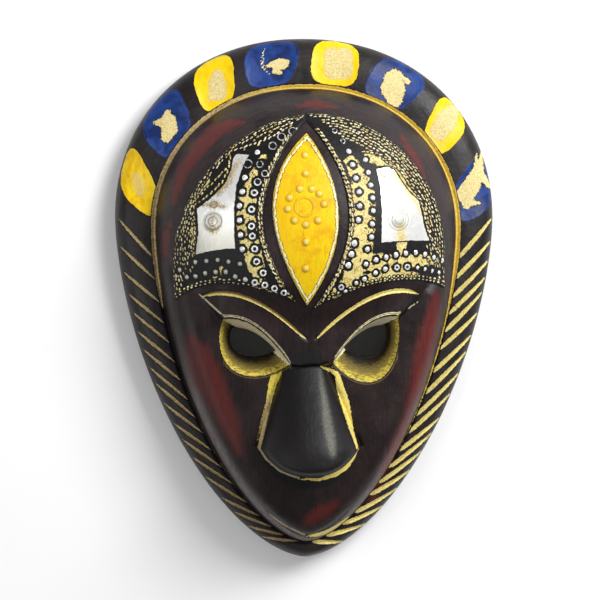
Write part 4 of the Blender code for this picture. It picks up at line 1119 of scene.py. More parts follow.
# Materials
class Wiring:
    """Adds nodes to one tree and joins them, so that a finish reads as a list of steps."""

    def __init__(self, tree):
        self.tree = tree

    def add(self, kind, inputs=(), **settings):
        node = self.tree.nodes.new(kind)
        for setting, value in settings.items():
            setattr(node, setting, value)
        for socket, value in dict(inputs).items():
            self.give(node.inputs[socket], value)
        return node

    def give(self, socket, value):
        if isinstance(value, bpy.types.NodeSocket):
            self.tree.links.new(value, socket)
        elif value is not None:
            socket.default_value = (*value[:3], 1.0) if socket.type == "RGBA" else value

    def math(self, operation, *values):
        return self.add("ShaderNodeMath", enumerate(values), operation=operation).outputs[0]

    def plus(self, a, b):
        return self.math("ADD", a, b)

    def minus(self, a, b):
        return self.math("SUBTRACT", a, b)

    def times(self, a, b):
        return self.math("MULTIPLY", a, b)

    def times_plus(self, a, b, c):
        return self.math("MULTIPLY_ADD", a, b, c)

    def larger(self, a, b):
        return self.math("MAXIMUM", a, b)

    def one_minus(self, a):
        return self.minus(1.0, a)

    def gap(self, a, b):
        return self.math("ABSOLUTE", self.minus(a, b))

    def band(self, value, middle, half_width):
        """How far a value is inside a band."""
        return self.minus(half_width, self.gap(value, middle))

    def mix(self, share, first, second, strength=None):
        """The first colour where the share is 0, the second at the given strength where it is 1."""
        if strength is not None:
            share = self.times(share, strength)
        node = self.add("ShaderNodeMix", {0: share, 6: first, 7: second}, data_type="RGBA")
        return node.outputs[2]

    def between(self, share, first, second):
        node = self.add("ShaderNodeMix", {0: share, 2: first, 3: second}, data_type="FLOAT")
        return node.outputs[0]

    def step(self, value, low, high):
        """0 below low, 1 above high, smooth between."""
        inputs = {"Value": value, "From Min": low, "From Max": high}
        return self.add("ShaderNodeMapRange", inputs, interpolation_type="SMOOTHSTEP").outputs[0]

    def field(self, name):
        return self.add("ShaderNodeAttribute", attribute_name=name).outputs["Fac"]

    def place(self):
        """The point on the piece, in millimetres."""
        spot = self.add("ShaderNodeTexCoord").outputs["Object"]
        return self.add("ShaderNodeVectorMath", {0: spot, 3: TO_MM}, operation="SCALE").outputs[0]

    def stretched(self, spot, scale):
        return self.add("ShaderNodeVectorMath", {0: spot, 1: scale}, operation="MULTIPLY").outputs[0]

    def parts(self, spot):
        return self.add("ShaderNodeSeparateXYZ", {0: spot}).outputs

    def joined(self, x, y, z):
        return self.add("ShaderNodeCombineXYZ", {0: x, 1: y, 2: z}).outputs[0]

    def noise(self, spot, scale, detail=2.0, roughness=0.5, distortion=0.0):
        inputs = {"Vector": spot, "Scale": scale, "Detail": detail, "Roughness": roughness}
        return self.add("ShaderNodeTexNoise", {**inputs, "Distortion": distortion}).outputs[0]


FLOAT, VECTOR, COLOUR = "NodeSocketFloat", "NodeSocketVector", "NodeSocketColor"


def effect_tree(name, inputs, outputs):
    """A shader node group, made once, and its wiring, which is None when it was made before."""
    made = bpy.data.node_groups.get(name)
    if made:
        return made, None
    tree = bpy.data.node_groups.new(name, "ShaderNodeTree")
    for socket, kind, default in inputs:
        made = tree.interface.new_socket(name=socket, in_out="INPUT", socket_type=kind)
        if default is not None:
            made.default_value = default
    for socket, kind in outputs:
        tree.interface.new_socket(name=socket, in_out="OUTPUT", socket_type=kind)
    return tree, Wiring(tree)


def ragged_edge():
    """A painted edge: 1 where the distance inside it, shaken by noise, is above zero."""
    tree, w = effect_tree(
        "Ragged edge",
        (
            ("Inside By", FLOAT, 0.0),
            ("Place", VECTOR, None),
            ("Raggedness", FLOAT, 0.4),
            ("Grain", FLOAT, 0.8),
            ("Softness", FLOAT, 0.15),
        ),
        (("Mask", FLOAT),),
    )
    if w:
        given = w.add("NodeGroupInput").outputs
        noise = w.noise(given["Place"], given["Grain"], detail=4.0, roughness=0.62)
        shaken = w.times_plus(w.minus(noise, 0.5), given["Raggedness"], given["Inside By"])
        mask = w.step(shaken, w.times(given["Softness"], -1.0), given["Softness"])
        w.add("NodeGroupOutput", {"Mask": mask})
    return tree


def brush_streaks():
    """Streaks left by a brush that ran along one direction of the given place."""
    tree, w = effect_tree(
        "Brush streaks",
        (
            ("Place", VECTOR, None),
            ("Along", VECTOR, (0.05, 0.05, 0.05)),
            ("Grain", FLOAT, 1.0),
        ),
        (("Streak", FLOAT),),
    )
    if w:
        given = w.add("NodeGroupInput").outputs
        spot = w.stretched(given["Place"], given["Along"])
        coarse = w.noise(spot, given["Grain"], detail=3.0, roughness=0.6)
        fine = w.noise(spot, w.times(given["Grain"], 3.7), detail=2.0, roughness=0.6)
        both = w.times_plus(fine, 0.4, w.times(coarse, 0.6))
        w.add("NodeGroupOutput", {"Streak": w.step(both, 0.36, 0.64)})
    return tree


def speckles():
    """Small ragged specks, such as dust in paint and knocks through it."""
    tree, w = effect_tree(
        "Speckles",
        (
            ("Place", VECTOR, None),
            ("Grain", FLOAT, 1.0),
            ("Share", FLOAT, 0.3),
        ),
        (("Mask", FLOAT),),
    )
    if w:
        given = w.add("NodeGroupInput").outputs
        noise = w.noise(given["Place"], given["Grain"], detail=5.0, roughness=0.7)
        edge = w.minus(0.74, w.times(given["Share"], 0.3))
        w.add("NodeGroupOutput", {"Mask": w.step(noise, edge, w.plus(edge, 0.05))})
    return tree


def lacquer():
    """A dark coat over cut wood: a shade that drifts, and the low waves of the knife and brush under it."""
    tree, w = effect_tree(
        "Lacquer",
        (
            ("Place", VECTOR, None),
            ("Dark", COLOUR, (0.02, 0.02, 0.02, 1)),
            ("Light", COLOUR, (0.05, 0.05, 0.05, 1)),
            ("Streak", FLOAT, 0.5),
        ),
        (("Color", COLOUR), ("Height", FLOAT), ("Drift", FLOAT)),
    )
    if w:
        given = w.add("NodeGroupInput").outputs
        drift = w.noise(given["Place"], 0.05, detail=4.0, roughness=0.55, distortion=0.3)
        shade = w.times_plus(given["Streak"], 0.45, w.times(w.step(drift, 0.32, 0.7), 0.55))
        waves = w.noise(given["Place"], 0.16, detail=2.0)
        grit = w.noise(given["Place"], 2.2, detail=4.0, roughness=0.65)
        height = w.times_plus(waves, 0.35, w.times(grit, 0.045))
        height = w.times_plus(given["Streak"], 0.03, height)
        colour = w.mix(shade, given["Dark"], given["Light"])
        w.add("NodeGroupOutput", {"Color": colour, "Height": height, "Drift": drift})
    return tree


EFFECTS = {
    "ragged edge": ragged_edge,
    "brush streaks": brush_streaks,
    "speckles": speckles,
    "lacquer": lacquer,
}


def outputs_of(w, name, **inputs):
    """The outputs of one of the effects, used in a tree with some inputs."""
    node = w.add("ShaderNodeGroup", node_tree=EFFECTS[name]())
    for socket, value in inputs.items():
        w.give(node.inputs[socket.replace("_", " ")], value)
    return node.outputs


def ragged(w, inside_by, place, raggedness, grain, softness):
    edge = {"Raggedness": raggedness, "Grain": grain, "Softness": softness}
    return outputs_of(w, "ragged edge", Inside_By=inside_by, Place=place, **edge)["Mask"]


def streaks(w, place, along, grain):
    return outputs_of(w, "brush streaks", Place=place, Along=along, Grain=grain)["Streak"]


def specks(w, place, grain, share):
    return outputs_of(w, "speckles", Place=place, Grain=grain, Share=share)["Mask"]


def new_finish(name):
    """A material, the wiring of its tree, and its shader."""
    material = bpy.data.materials.new(name)
    material.use_nodes = True
    return material, Wiring(material.node_tree), material.node_tree.nodes["Principled BSDF"]


def bumped(w, shader, height):
    """Feeds a height in millimetres to the shader as relief."""
    bump = w.add("ShaderNodeBump", {"Height": height, "Strength": 1.0, "Distance": MM})
    w.give(shader.inputs["Normal"], bump.outputs[0])


class Coats:
    """Paint laid coat over coat: the colour so far, and the roughness and the height where they are kept."""

    def __init__(self, w, place, colour, roughness=None, height=None):
        self.w, self.place = w, place
        self.colour, self.roughness, self.height = colour, roughness, height

    def lay(self, mask, colour, roughness=None, thickness=0.0, strength=None):
        """Adds a coat where the mask is 1, at a strength below 1 where what is under it shows through."""
        if strength is not None:
            mask = self.w.times(mask, strength)
        self.colour = self.w.mix(mask, self.colour, colour)
        if roughness is not None:
            self.roughness = self.w.between(mask, self.roughness, roughness)
        if thickness:
            self.height = self.w.times_plus(mask, thickness, self.height)

    def brush(self, inside_by, edge, colour, roughness=None, thickness=0.0, strength=None):
        """A coat inside a painted outline. The edge is given as its raggedness, grain and softness."""
        self.lay(ragged(self.w, inside_by, self.place, *edge), colour, roughness, thickness, strength)

    def outline(self, inside_by, reach, colour, raggedness=0.25):
        """A thin dark line just outside what is painted next."""
        self.brush(self.w.plus(inside_by, reach), (raggedness, 1.2, 0.2), colour)


def wood_paint_finish(paint):
    """Black and oxblood lacquer over carved wood, with every painted line, cell and daub."""
    material, w, shader = new_finish("painted_wood")
    place = w.place()
    x, y, _ = w.parts(place)
    on_face = w.step(w.field("inset"), -0.3, 0.3)
    run = w.joined(w.times(w.field("around"), 0.06), w.times(w.field("inset"), 0.5), 0.0)
    rim_streak = streaks(w, run, (1.0, 1.0, 1.0), 1.3)
    face_streak = streaks(w, place, (0.75, 0.055, 0.3), 1.0)
    on_forehead = w.step(y, 2.0, 16.0)
    streak = w.between(w.larger(w.one_minus(on_face), on_forehead), face_streak, rim_streak)
    dark = w.mix(on_face, paint.rim_dark, paint.face_dark)
    light = w.mix(on_face, paint.rim_light, w.mix(on_forehead, paint.face_light, paint.forehead_light))
    coat = outputs_of(w, "lacquer", Place=place, Dark=dark, Light=light, Streak=streak)
    gloss = w.times_plus(w.step(coat["Drift"], 0.35, 0.65), 0.16, 0.34)
    coats = Coats(w, place, coat["Color"], gloss, coat["Height"])

    lay_dust_and_edge_highlight(w, coats, paint, on_face, streak)
    lay_oxblood(w, coats, paint, streak, on_forehead)
    lay_sheen(w, coats, paint)
    lay_cells(w, coats, paint)
    lay_cut_paint(w, coats, paint, x, y)
    lay_lines(w, coats, paint, x, y)
    lay_eyes(w, coats, paint, x)

    w.give(shader.inputs["Base Color"], coats.colour)
    w.give(shader.inputs["Roughness"], coats.roughness)
    shader.inputs["Specular IOR Level"].default_value = paint.specular
    bumped(w, shader, coats.height)
    return material


def lay_dust_and_edge_highlight(w, coats, paint, on_face, streak):
    """Fine pale dust in the lacquer, and grey along the face's lower edge: partly wear, partly a painted
    highlight on its rounded shoulder.
    """
    dust = specks(w, coats.place, 1.6, 0.42)
    coats.lay(dust, paint.dust, strength=0.12)
    # Partly wear and partly a painted highlight: grey along the lower edge of the face
    edge = w.times(w.step(w.field("inset"), 0.3, 1.6), w.step(w.field("inset"), 7.0, 2.5))
    _, y, _ = w.parts(coats.place)
    low = w.step(y, -20.0, -60.0)
    worn = w.times(w.times(edge, low), w.times_plus(streak, 0.35, 0.25))
    coats.lay(w.times(worn, on_face), paint.edge_wear_and_highlight)


def lay_oxblood(w, coats, paint, streak, on_forehead):
    inside_by = w.times_plus(w.minus(streak, 0.5), 2.4, w.field("oxblood"))
    mask = ragged(w, inside_by, coats.place, 2.2, 0.25, w.between(on_forehead, 3.0, 1.3))
    x, _, _ = w.parts(coats.place)
    lighter = w.larger(on_forehead, w.step(x, 20.0, 40.0))
    shade = w.mix(lighter, paint.cheek_oxblood, paint.oxblood)
    deeper = w.mix(streak, shade, paint.face_light, 0.5)
    coats.lay(mask, deeper, 0.45, strength=0.92)


def lay_sheen(w, coats, paint):
    """A black nose with a painted highlight down it: a faint grainy grey stripe."""
    coats.lay(w.step(w.field("nose"), -1.0, 1.0), paint.nose_black, 0.5, strength=0.85)
    grain = w.noise(w.stretched(coats.place, (0.6, 1.5, 1.0)), 2.2, detail=3.0, roughness=0.65)
    soft = w.step(w.field("sheen"), -2.0, 2.2)
    # Painted highlight: grey laid in a grainy stripe down the nose, where the lacquer shines
    rubbed = w.step(w.times_plus(soft, 0.2, grain), 0.5, 0.78)
    coats.lay(w.times(rubbed, soft), paint.nose_highlight, 0.5, strength=0.9)


def lay_cells(w, coats, paint):
    """Yellow and blue crest cells with cream daubs."""
    place = coats.place
    fine = w.noise(place, 1.4, detail=4.0, roughness=0.7)
    drift = w.noise(w.stretched(place, (1.0, 0.5, 0.7)), 0.3, detail=4.0, roughness=0.6)
    yellow = w.field("yellow_cell")
    coats.outline(yellow, 0.6, paint.black, 1.0)
    x, _, _ = w.parts(place)
    leftmost = w.step(x, -72.0, -82.0)
    deep = w.times(w.step(drift, 0.4, 0.66), w.between(leftmost, 0.45, 1.0))
    shade = w.mix(deep, paint.yellow, paint.yellow_deep_and_shade)
    grimy = w.times(specks(w, place, 0.7, 0.45), w.between(leftmost, 0.1, 0.6))
    shade = w.mix(grimy, shade, paint.yellow_grime_and_shade)
    coats.brush(yellow, (1.6, 0.4, 0.14), shade, 0.38, 0.16)
    daub = w.field("soft_daub")
    worn = w.times(w.step(daub, -1.6, 0.8), 0.45)
    coats.lay(w.times(worn, w.between(leftmost, 1.0, 0.6)), paint.cream_shadow)
    soft = w.times(ragged(w, daub, place, 4.5, 0.9, 0.7), w.between(leftmost, 0.95, 0.35))
    coats.lay(soft, w.mix(w.step(fine, 0.56, 0.38), paint.cream, paint.cream_shadow), 0.55, 0.1)

    blue = w.field("blue_cell")
    sweep = w.noise(place, 0.11, detail=2.0, distortion=0.8)
    bands = w.math("FRACT", w.times_plus(blue, 0.5, w.times(sweep, 2.0)))
    contour = w.step(w.gap(bands, 0.5), 0.14, 0.0)
    shade = w.mix(w.step(sweep, 0.36, 0.62), paint.blue_deep, paint.blue)
    # Lighter rings near the blue cells' edges: partly brush rings, partly a painted highlight on the dished
    # rims
    shade = w.mix(w.times(contour, w.times(w.step(blue, 3.4, 0.8), 0.5)), shade, paint.blue_light_and_highlight)
    coats.brush(blue, (1.6, 0.35, 0.4), shade, 0.4, 0.14)
    crisp = w.field("crisp_daub")
    pale = w.mix(w.step(w.times_plus(leftmost, -0.08, fine), 0.53, 0.36), paint.cream, paint.cream_shadow)
    pale = w.mix(specks(w, place, 1.3, 0.3), pale, paint.blue_deep, 0.7)
    coats.outline(crisp, 0.3, paint.black, 3.2)
    coats.brush(crisp, (3.4, 0.75, 0.14), pale, 0.6, 0.28)
    trail = w.minus(w.field("trail"), 0.9)
    coats.brush(trail, (7.0, 0.85, 0.14), paint.cream_bright, 0.5, strength=0.9)


def lay_cut_paint(w, coats, paint, x, y):
    """Gold in the gouge cuts: cream and broad on the right, muted and thin on the left."""
    place = coats.place
    right = w.step(x, -4.0, 4.0)
    cut = w.plus(w.field("cut"), w.between(right, -0.28, 0.1))
    patches = w.noise(place, 0.3, detail=4.0, roughness=0.65)
    fine = w.noise(place, 1.2, detail=4.0, roughness=0.7)
    coats.outline(cut, 0.5, paint.black)
    aged = w.times(w.step(fine, 0.42, 0.66), 0.7)
    muted = w.mix(aged, paint.cut_dull, paint.gold_brown)
    low = w.times(w.step(y, -50.0, -115.0), 0.5)
    muted = w.mix(w.larger(low, w.times(w.step(patches, 0.54, 0.74), 0.4)), muted, paint.gold_brown)
    bright = w.mix(aged, paint.gold_bright, paint.gold_muted, 0.8)
    bright = w.mix(w.step(patches, 0.54, 0.7), bright, paint.gold_muted, 0.55)
    bare = w.times(specks(w, place, 1.0, 0.42), 0.85)
    mask = w.times(ragged(w, cut, place, 1.1, 0.8, 0.12), w.one_minus(bare))
    coats.lay(mask, w.mix(right, muted, bright), 0.5, 0.05)


def lay_lines(w, coats, paint, x, y):
    """The painted lines round the face, along the brows, beside and under the nose, and on the chin."""
    place = coats.place
    grit = w.step(w.noise(place, 0.9, detail=4.0, roughness=0.65), 0.38, 0.68)
    on_right = w.step(x, -3.0, 3.0)
    aged = w.mix(grit, paint.gold_bright, paint.gold_muted, 0.7)
    dull = w.mix(grit, paint.cut_dull, paint.gold_brown, 0.8)

    crest = w.field("crest_line")
    # Lighter towards the upper right: partly the paint, partly painted light falling from that side
    brighter_paint_and_light = w.step(w.times_plus(y, 0.45, x), -10.0, 55.0)
    coats.outline(crest, 0.6, paint.black, 0.7)
    warm = w.mix(grit, paint.chin_yellow, paint.gold_muted, 0.6)
    coats.brush(crest, (1.3, 0.6, 0.12), w.mix(brighter_paint_and_light, dull, warm), 0.45, 0.12)

    brow = w.field("brow_line")
    coats.outline(brow, 0.55, paint.black, 0.7)
    two_tone = w.step(w.field("brow_side"), -0.15, 0.55)
    left_brow = w.mix(two_tone, aged, paint.gold_brown)
    right_brow = w.mix(grit, paint.gold_bright, paint.gold_muted, 0.5)
    coats.brush(brow, (1.1, 0.7, 0.12), w.mix(on_right, left_brow, right_brow), 0.45, 0.08)

    blotch = w.step(w.noise(place, 0.7, detail=4.0, roughness=0.65), 0.48, 0.66)
    left = w.field("left_strip")
    coats.outline(left, 0.6, paint.black, 1.4)
    upper = w.mix(blotch, paint.socket_yellow, paint.gold_brown, 0.7)
    lower = w.mix(blotch, paint.cut_dull, paint.gold_brown, 0.8)
    strip = w.mix(w.step(y, -46.0, -60.0), upper, lower)
    coats.brush(left, (2.2, 0.7, 0.14), strip, 0.5, 0.14)
    coats.brush(w.field("left_specks"), (3.0, 1.3, 0.14), paint.cream_shadow, 0.5, strength=0.85)
    right = w.field("right_strip")
    coats.outline(right, 0.6, paint.black, 1.4)
    strip = w.mix(blotch, paint.strip_yellow, paint.gold_muted, 0.45)
    coats.brush(right, (2.2, 0.7, 0.14), strip, 0.5, 0.14)

    thin = w.field("dull_line")
    grey = w.mix(grit, paint.pale_grey, paint.gold_muted)
    coats.brush(thin, (0.9, 0.8, 0.12), grey, 0.5, 0.08)
    thick = w.field("bright_line")
    coats.outline(thick, 0.5, paint.black, 0.9)
    gold = w.mix(grit, paint.gold_bright, paint.chin_yellow)
    coats.brush(thick, (1.3, 0.7, 0.12), gold, 0.45, 0.1)
    coats.brush(w.field("temple_line"), (0.8, 0.9, 0.12), paint.lid_grey, 0.5, strength=0.85)


def lay_eyes(w, coats, paint, x):
    """Lids and sockets: a thin double line, a dark gap, a ragged crescent, and yellow that darkens inwards as
    painted shade down the hole.
    """
    place = coats.place
    lid, eye, funnel = w.field("lid"), w.field("eye"), w.field("funnel")
    on_right = w.step(x, -3.0, 3.0)
    around_eye = w.step(eye, 2.4, 1.9)

    ring = w.band(eye, 0.9, 0.3)
    below = w.step(lid, 0.2, -1.0)
    thin = w.times(ragged(w, ring, place, 0.9, 0.8, 0.1), below)
    coats.lay(thin, paint.gold_brown, 0.5, strength=0.7)

    strokes = w.noise(w.stretched(place, (0.3, 0.8, 0.5)), 1.3, detail=4.0, roughness=0.7)
    # Painted shade: the socket's yellow turns olive, then dark, further down the funnel
    deep = w.times_plus(w.minus(strokes, 0.5), 0.55, funnel)
    rim_yellow = w.mix(w.step(strokes, 0.44, 0.62), paint.socket_yellow, paint.socket_olive_and_shade)
    rim_yellow = w.mix(w.step(deep, 0.08, 0.42), rim_yellow, paint.socket_olive_and_shade)
    socket = w.mix(w.step(deep, 0.4, 0.85), rim_yellow, paint.socket_shade)
    dark_specks = specks(w, place, 0.8, w.between(on_right, 0.28, 0.5))
    socket = w.mix(dark_specks, socket, paint.black, 0.8)
    inward = w.times(eye, -1.0)
    coats.outline(inward, 0.6, paint.black, 0.5)
    coats.brush(inward, (0.9, 0.9, 0.12), socket, 0.5)

    gap = w.band(lid, 0.1, 0.75)
    coats.lay(w.times(w.step(gap, -0.1, 0.1), around_eye), paint.black, 0.4)
    grain = w.step(w.noise(place, 1.0, detail=4.0, roughness=0.7), 0.44, 0.64)
    pale = w.mix(on_right, paint.lid_grey, paint.cream_bright)
    pale = w.mix(grain, pale, w.mix(on_right, paint.gold_brown, paint.cream_shadow), 0.6)
    for rise, half in ((0.6, 0.22), (1.35, 0.18)):
        line = w.band(lid, rise, half)
        drawn = w.times(ragged(w, line, place, 0.7, 0.9, 0.1), around_eye)
        coats.lay(drawn, pale, 0.5, 0.04, strength=0.85)
    crescent = w.mix(grain, w.mix(on_right, paint.crescent_grey, paint.crescent_cream), pale, 0.35)
    coats.brush(w.field("crescent"), (2.9, 0.5, 0.12), crescent, 0.55, 0.08)


def hollow_wood_finish(paint):
    """The hollow back: plain dark wood, with the gouge's marks left in it."""
    material, w, shader = new_finish("hollow_wood")
    place = w.place()
    grain = streaks(w, place, (0.5, 0.035, 0.5), 1.6)
    dark, light = paint.hollow_dark, paint.hollow_light
    coat = outputs_of(w, "lacquer", Place=place, Dark=dark, Light=light, Streak=grain)
    cells = w.add("ShaderNodeTexVoronoi", {"Vector": w.stretched(place, (0.11, 0.05, 0.08)), "Scale": 1.0})
    scoops = w.step(cells.outputs["Distance"], 0.05, 0.75)
    height = w.times_plus(scoops, 0.55, coat["Height"])
    height = w.times_plus(grain, 0.05, height)
    dusty = w.mix(specks(w, place, 0.7, 0.5), coat["Color"], paint.hollow_dust, 0.35)
    # Painted shade: lighter on the ridges between the gouge's scoops, darker in them
    ridges = w.mix(scoops, dusty, paint.hollow_light, 0.35)
    w.give(shader.inputs["Base Color"], ridges)
    w.give(shader.inputs["Roughness"], w.times_plus(grain, 0.1, 0.66))
    bumped(w, shader, height)
    return material


def sheet_finish(paint):
    """Embossed aluminium: bright panels and beads, with black and cream paint rubbed in between."""
    material, w, shader = new_finish("embossed_metal")
    place = w.place()
    x, y, _ = w.parts(place)
    on_right = w.step(x, -2.0, 2.0)
    grit = w.noise(place, 0.9, detail=4.0, roughness=0.65)
    broad = w.noise(place, 0.22, detail=3.0, roughness=0.6)
    black = w.mix(w.step(grit, 0.45, 0.8), paint.sheet_black, paint.sheet_grey)
    cream = w.mix(w.step(w.between(0.45, grit, broad), 0.46, 0.64), paint.sheet_cream, paint.sheet_ochre)
    ground = ragged(w, w.field("ground"), place, 4.2, 0.35, 0.25)
    coats = Coats(w, place, w.mix(ground, black, cream))
    scribble = w.gap(w.noise(place, 0.3, detail=1.0, distortion=1.2), 0.5)
    coats.lay(w.step(scribble, 0.02, 0.008), paint.sheet_black)

    bead, dash, rope = w.field("bead"), w.field("dash"), w.field("rope")
    raised = w.math("MINIMUM", bead, dash)
    halo = w.minus(w.between(on_right, 1.35, 1.25), raised)
    coats.brush(halo, (3.4, 0.45, 0.12), paint.sheet_black)
    coats.brush(w.minus(0.6, rope), (1.2, 0.9, 0.12), paint.sheet_black)
    strand = ragged(w, w.minus(w.between(on_right, -0.12, -0.08), rope), place, 1.2, 0.8, 0.12)
    pale_share = w.noise(place, 0.6, detail=2.0)
    strands = w.mix(w.step(pale_share, 0.36, 0.5), paint.sheet_ochre, paint.sheet_pale)
    coats.lay(strand, w.mix(w.step(pale_share, 0.5, 0.6), strands, paint.sheet_white))

    coats.brush(w.plus(w.field("panel"), 0.8), (1.3, 0.45, 0.12), paint.sheet_black)
    panel = ragged(w, w.field("panel"), place, 1.2, 0.5, 0.12)
    thin_above = w.times(w.step(y, 54.0, 62.0), 0.22)
    bare_bead = ragged(w, w.minus(-0.1, bead), place, 1.0, 0.8, 0.12)
    bare_ring = ragged(w, w.minus(w.times(thin_above, -1.0), w.plus(dash, 0.1)), place, 1.0, 0.8, 0.12)
    bare_bead = w.larger(bare_bead, bare_ring)
    # Painted shade: the left panel greys towards its foot, in place of the metal's darker reflection there
    low = w.times(w.step(y, 46.0, 24.0), w.step(x, 2.0, -2.0))
    plate = w.mix(low, paint.metal, paint.metal_grey, 0.75)
    film = w.step(w.noise(w.stretched(place, (0.3, 0.12, 0.2)), 1.0, detail=4.0), 0.5, 0.75)
    plate = w.mix(film, plate, paint.metal_warm, 0.4)
    stain = w.step(w.times_plus(w.minus(grit, 0.5), 5.0, w.field("stain")), -1.4, 1.6)
    smudge = w.mix(on_right, paint.stain_brown, paint.sheet_cream)
    smudge = w.mix(w.step(grit, 0.4, 0.6), paint.sheet_ochre, smudge)
    plate = w.mix(stain, plate, smudge, 0.85)
    circle = ragged(w, w.field("circle"), place, 0.6, 0.9, 0.2)
    plate = w.mix(circle, plate, w.mix(on_right, paint.stain_brown, paint.ring_grey), 0.8)
    shaded = w.times(w.step(x, -26.0, -38.0), w.step(y, 26.0, 20.0))
    bead_metal = w.mix(w.step(grit, 0.52, 0.68), paint.metal, paint.metal_grey)
    coats.lay(bare_bead, w.mix(shaded, bead_metal, paint.bead_dull, 0.8))
    coats.lay(panel, plate)

    w.give(shader.inputs["Base Color"], coats.colour)
    bare = w.larger(w.times(panel, w.one_minus(circle)), bare_bead)
    w.give(shader.inputs["Metallic"], w.times(bare, w.minus(0.6, w.times(stain, 0.5))))
    w.give(shader.inputs["Roughness"], w.between(bare, 0.5, w.times_plus(grit, 0.2, 0.24)))
    shader.inputs["Specular IOR Level"].default_value = paint.specular
    dents = w.noise(place, 0.22, detail=2.0)
    height = w.times_plus(dents, 0.22, w.times(grit, 0.05))
    bumped(w, shader, w.times_plus(w.larger(ground, strand), 0.05, height))
    return material


def lens_finish(paint):
    """Yellow paint on the middle sheet, rubbed pale on its raised dots and with a ragged pale border; painted
    shade darkens its left half and the feet of its dots and circle.
    """
    material, w, shader = new_finish("yellow_metal")
    place = w.place()
    brushed = streaks(w, place, (0.8, 0.07, 0.5), 1.0)
    cloud = w.noise(place, 0.16, detail=4.0, roughness=0.62)
    x, _, _ = w.parts(place)
    # Painted shade: the lens is darker over its left half
    shaded = w.times(w.step(x, 0.0, -18.0), 0.45)
    deep = w.larger(shaded, w.step(cloud, 0.42, 0.66))
    coats = Coats(w, place, w.mix(deep, paint.yellow, paint.yellow_deep_and_shade))
    coats.lay(brushed, paint.yellow_deep_and_shade, strength=0.5)
    drips = w.step(w.noise(w.stretched(place, (1.0, 0.12, 0.6)), 0.7, detail=4.0, roughness=0.7), 0.56, 0.72)
    coats.lay(drips, paint.yellow_grime_and_shade, strength=0.35)
    coats.lay(specks(w, place, 0.9, 0.3), paint.yellow_grime_and_shade, strength=0.85)
    # Painted shade: a darker line round the feet of the dots and along the circle
    foot = w.gap(w.field("bead"), 0.1)
    ring = w.gap(w.field("dash"), 0.05)
    rubbed = w.times(w.step(w.math("MINIMUM", foot, ring), 0.3, 0.05), w.times_plus(brushed, 0.4, 0.35))
    coats.lay(rubbed, paint.yellow_grime_and_shade)
    worn = w.step(w.times_plus(w.noise(place, 1.1, detail=3.0), 0.8, w.field("bead")), 0.0, -0.9)
    coats.lay(worn, paint.cream, strength=0.7)
    rope = w.field("rope")
    coats.brush(w.minus(0.4, rope), (1.4, 0.6, 0.12), paint.sheet_black)
    border = w.mix(w.step(cloud, 0.45, 0.6), paint.cream_bright, paint.sheet_cream)
    coats.brush(w.minus(0.12, rope), (1.6, 0.6, 0.14), border)
    coats.brush(w.minus(0.3, w.field("edge")), (0.6, 0.8, 0.12), paint.sheet_black)
    w.give(shader.inputs["Base Color"], coats.colour)
    w.give(shader.inputs["Roughness"], w.times_plus(cloud, 0.25, 0.3))
    shader.inputs["Specular IOR Level"].default_value = paint.specular
    bumped(w, shader, w.times_plus(brushed, 0.04, w.times(cloud, 0.25)))
    return material


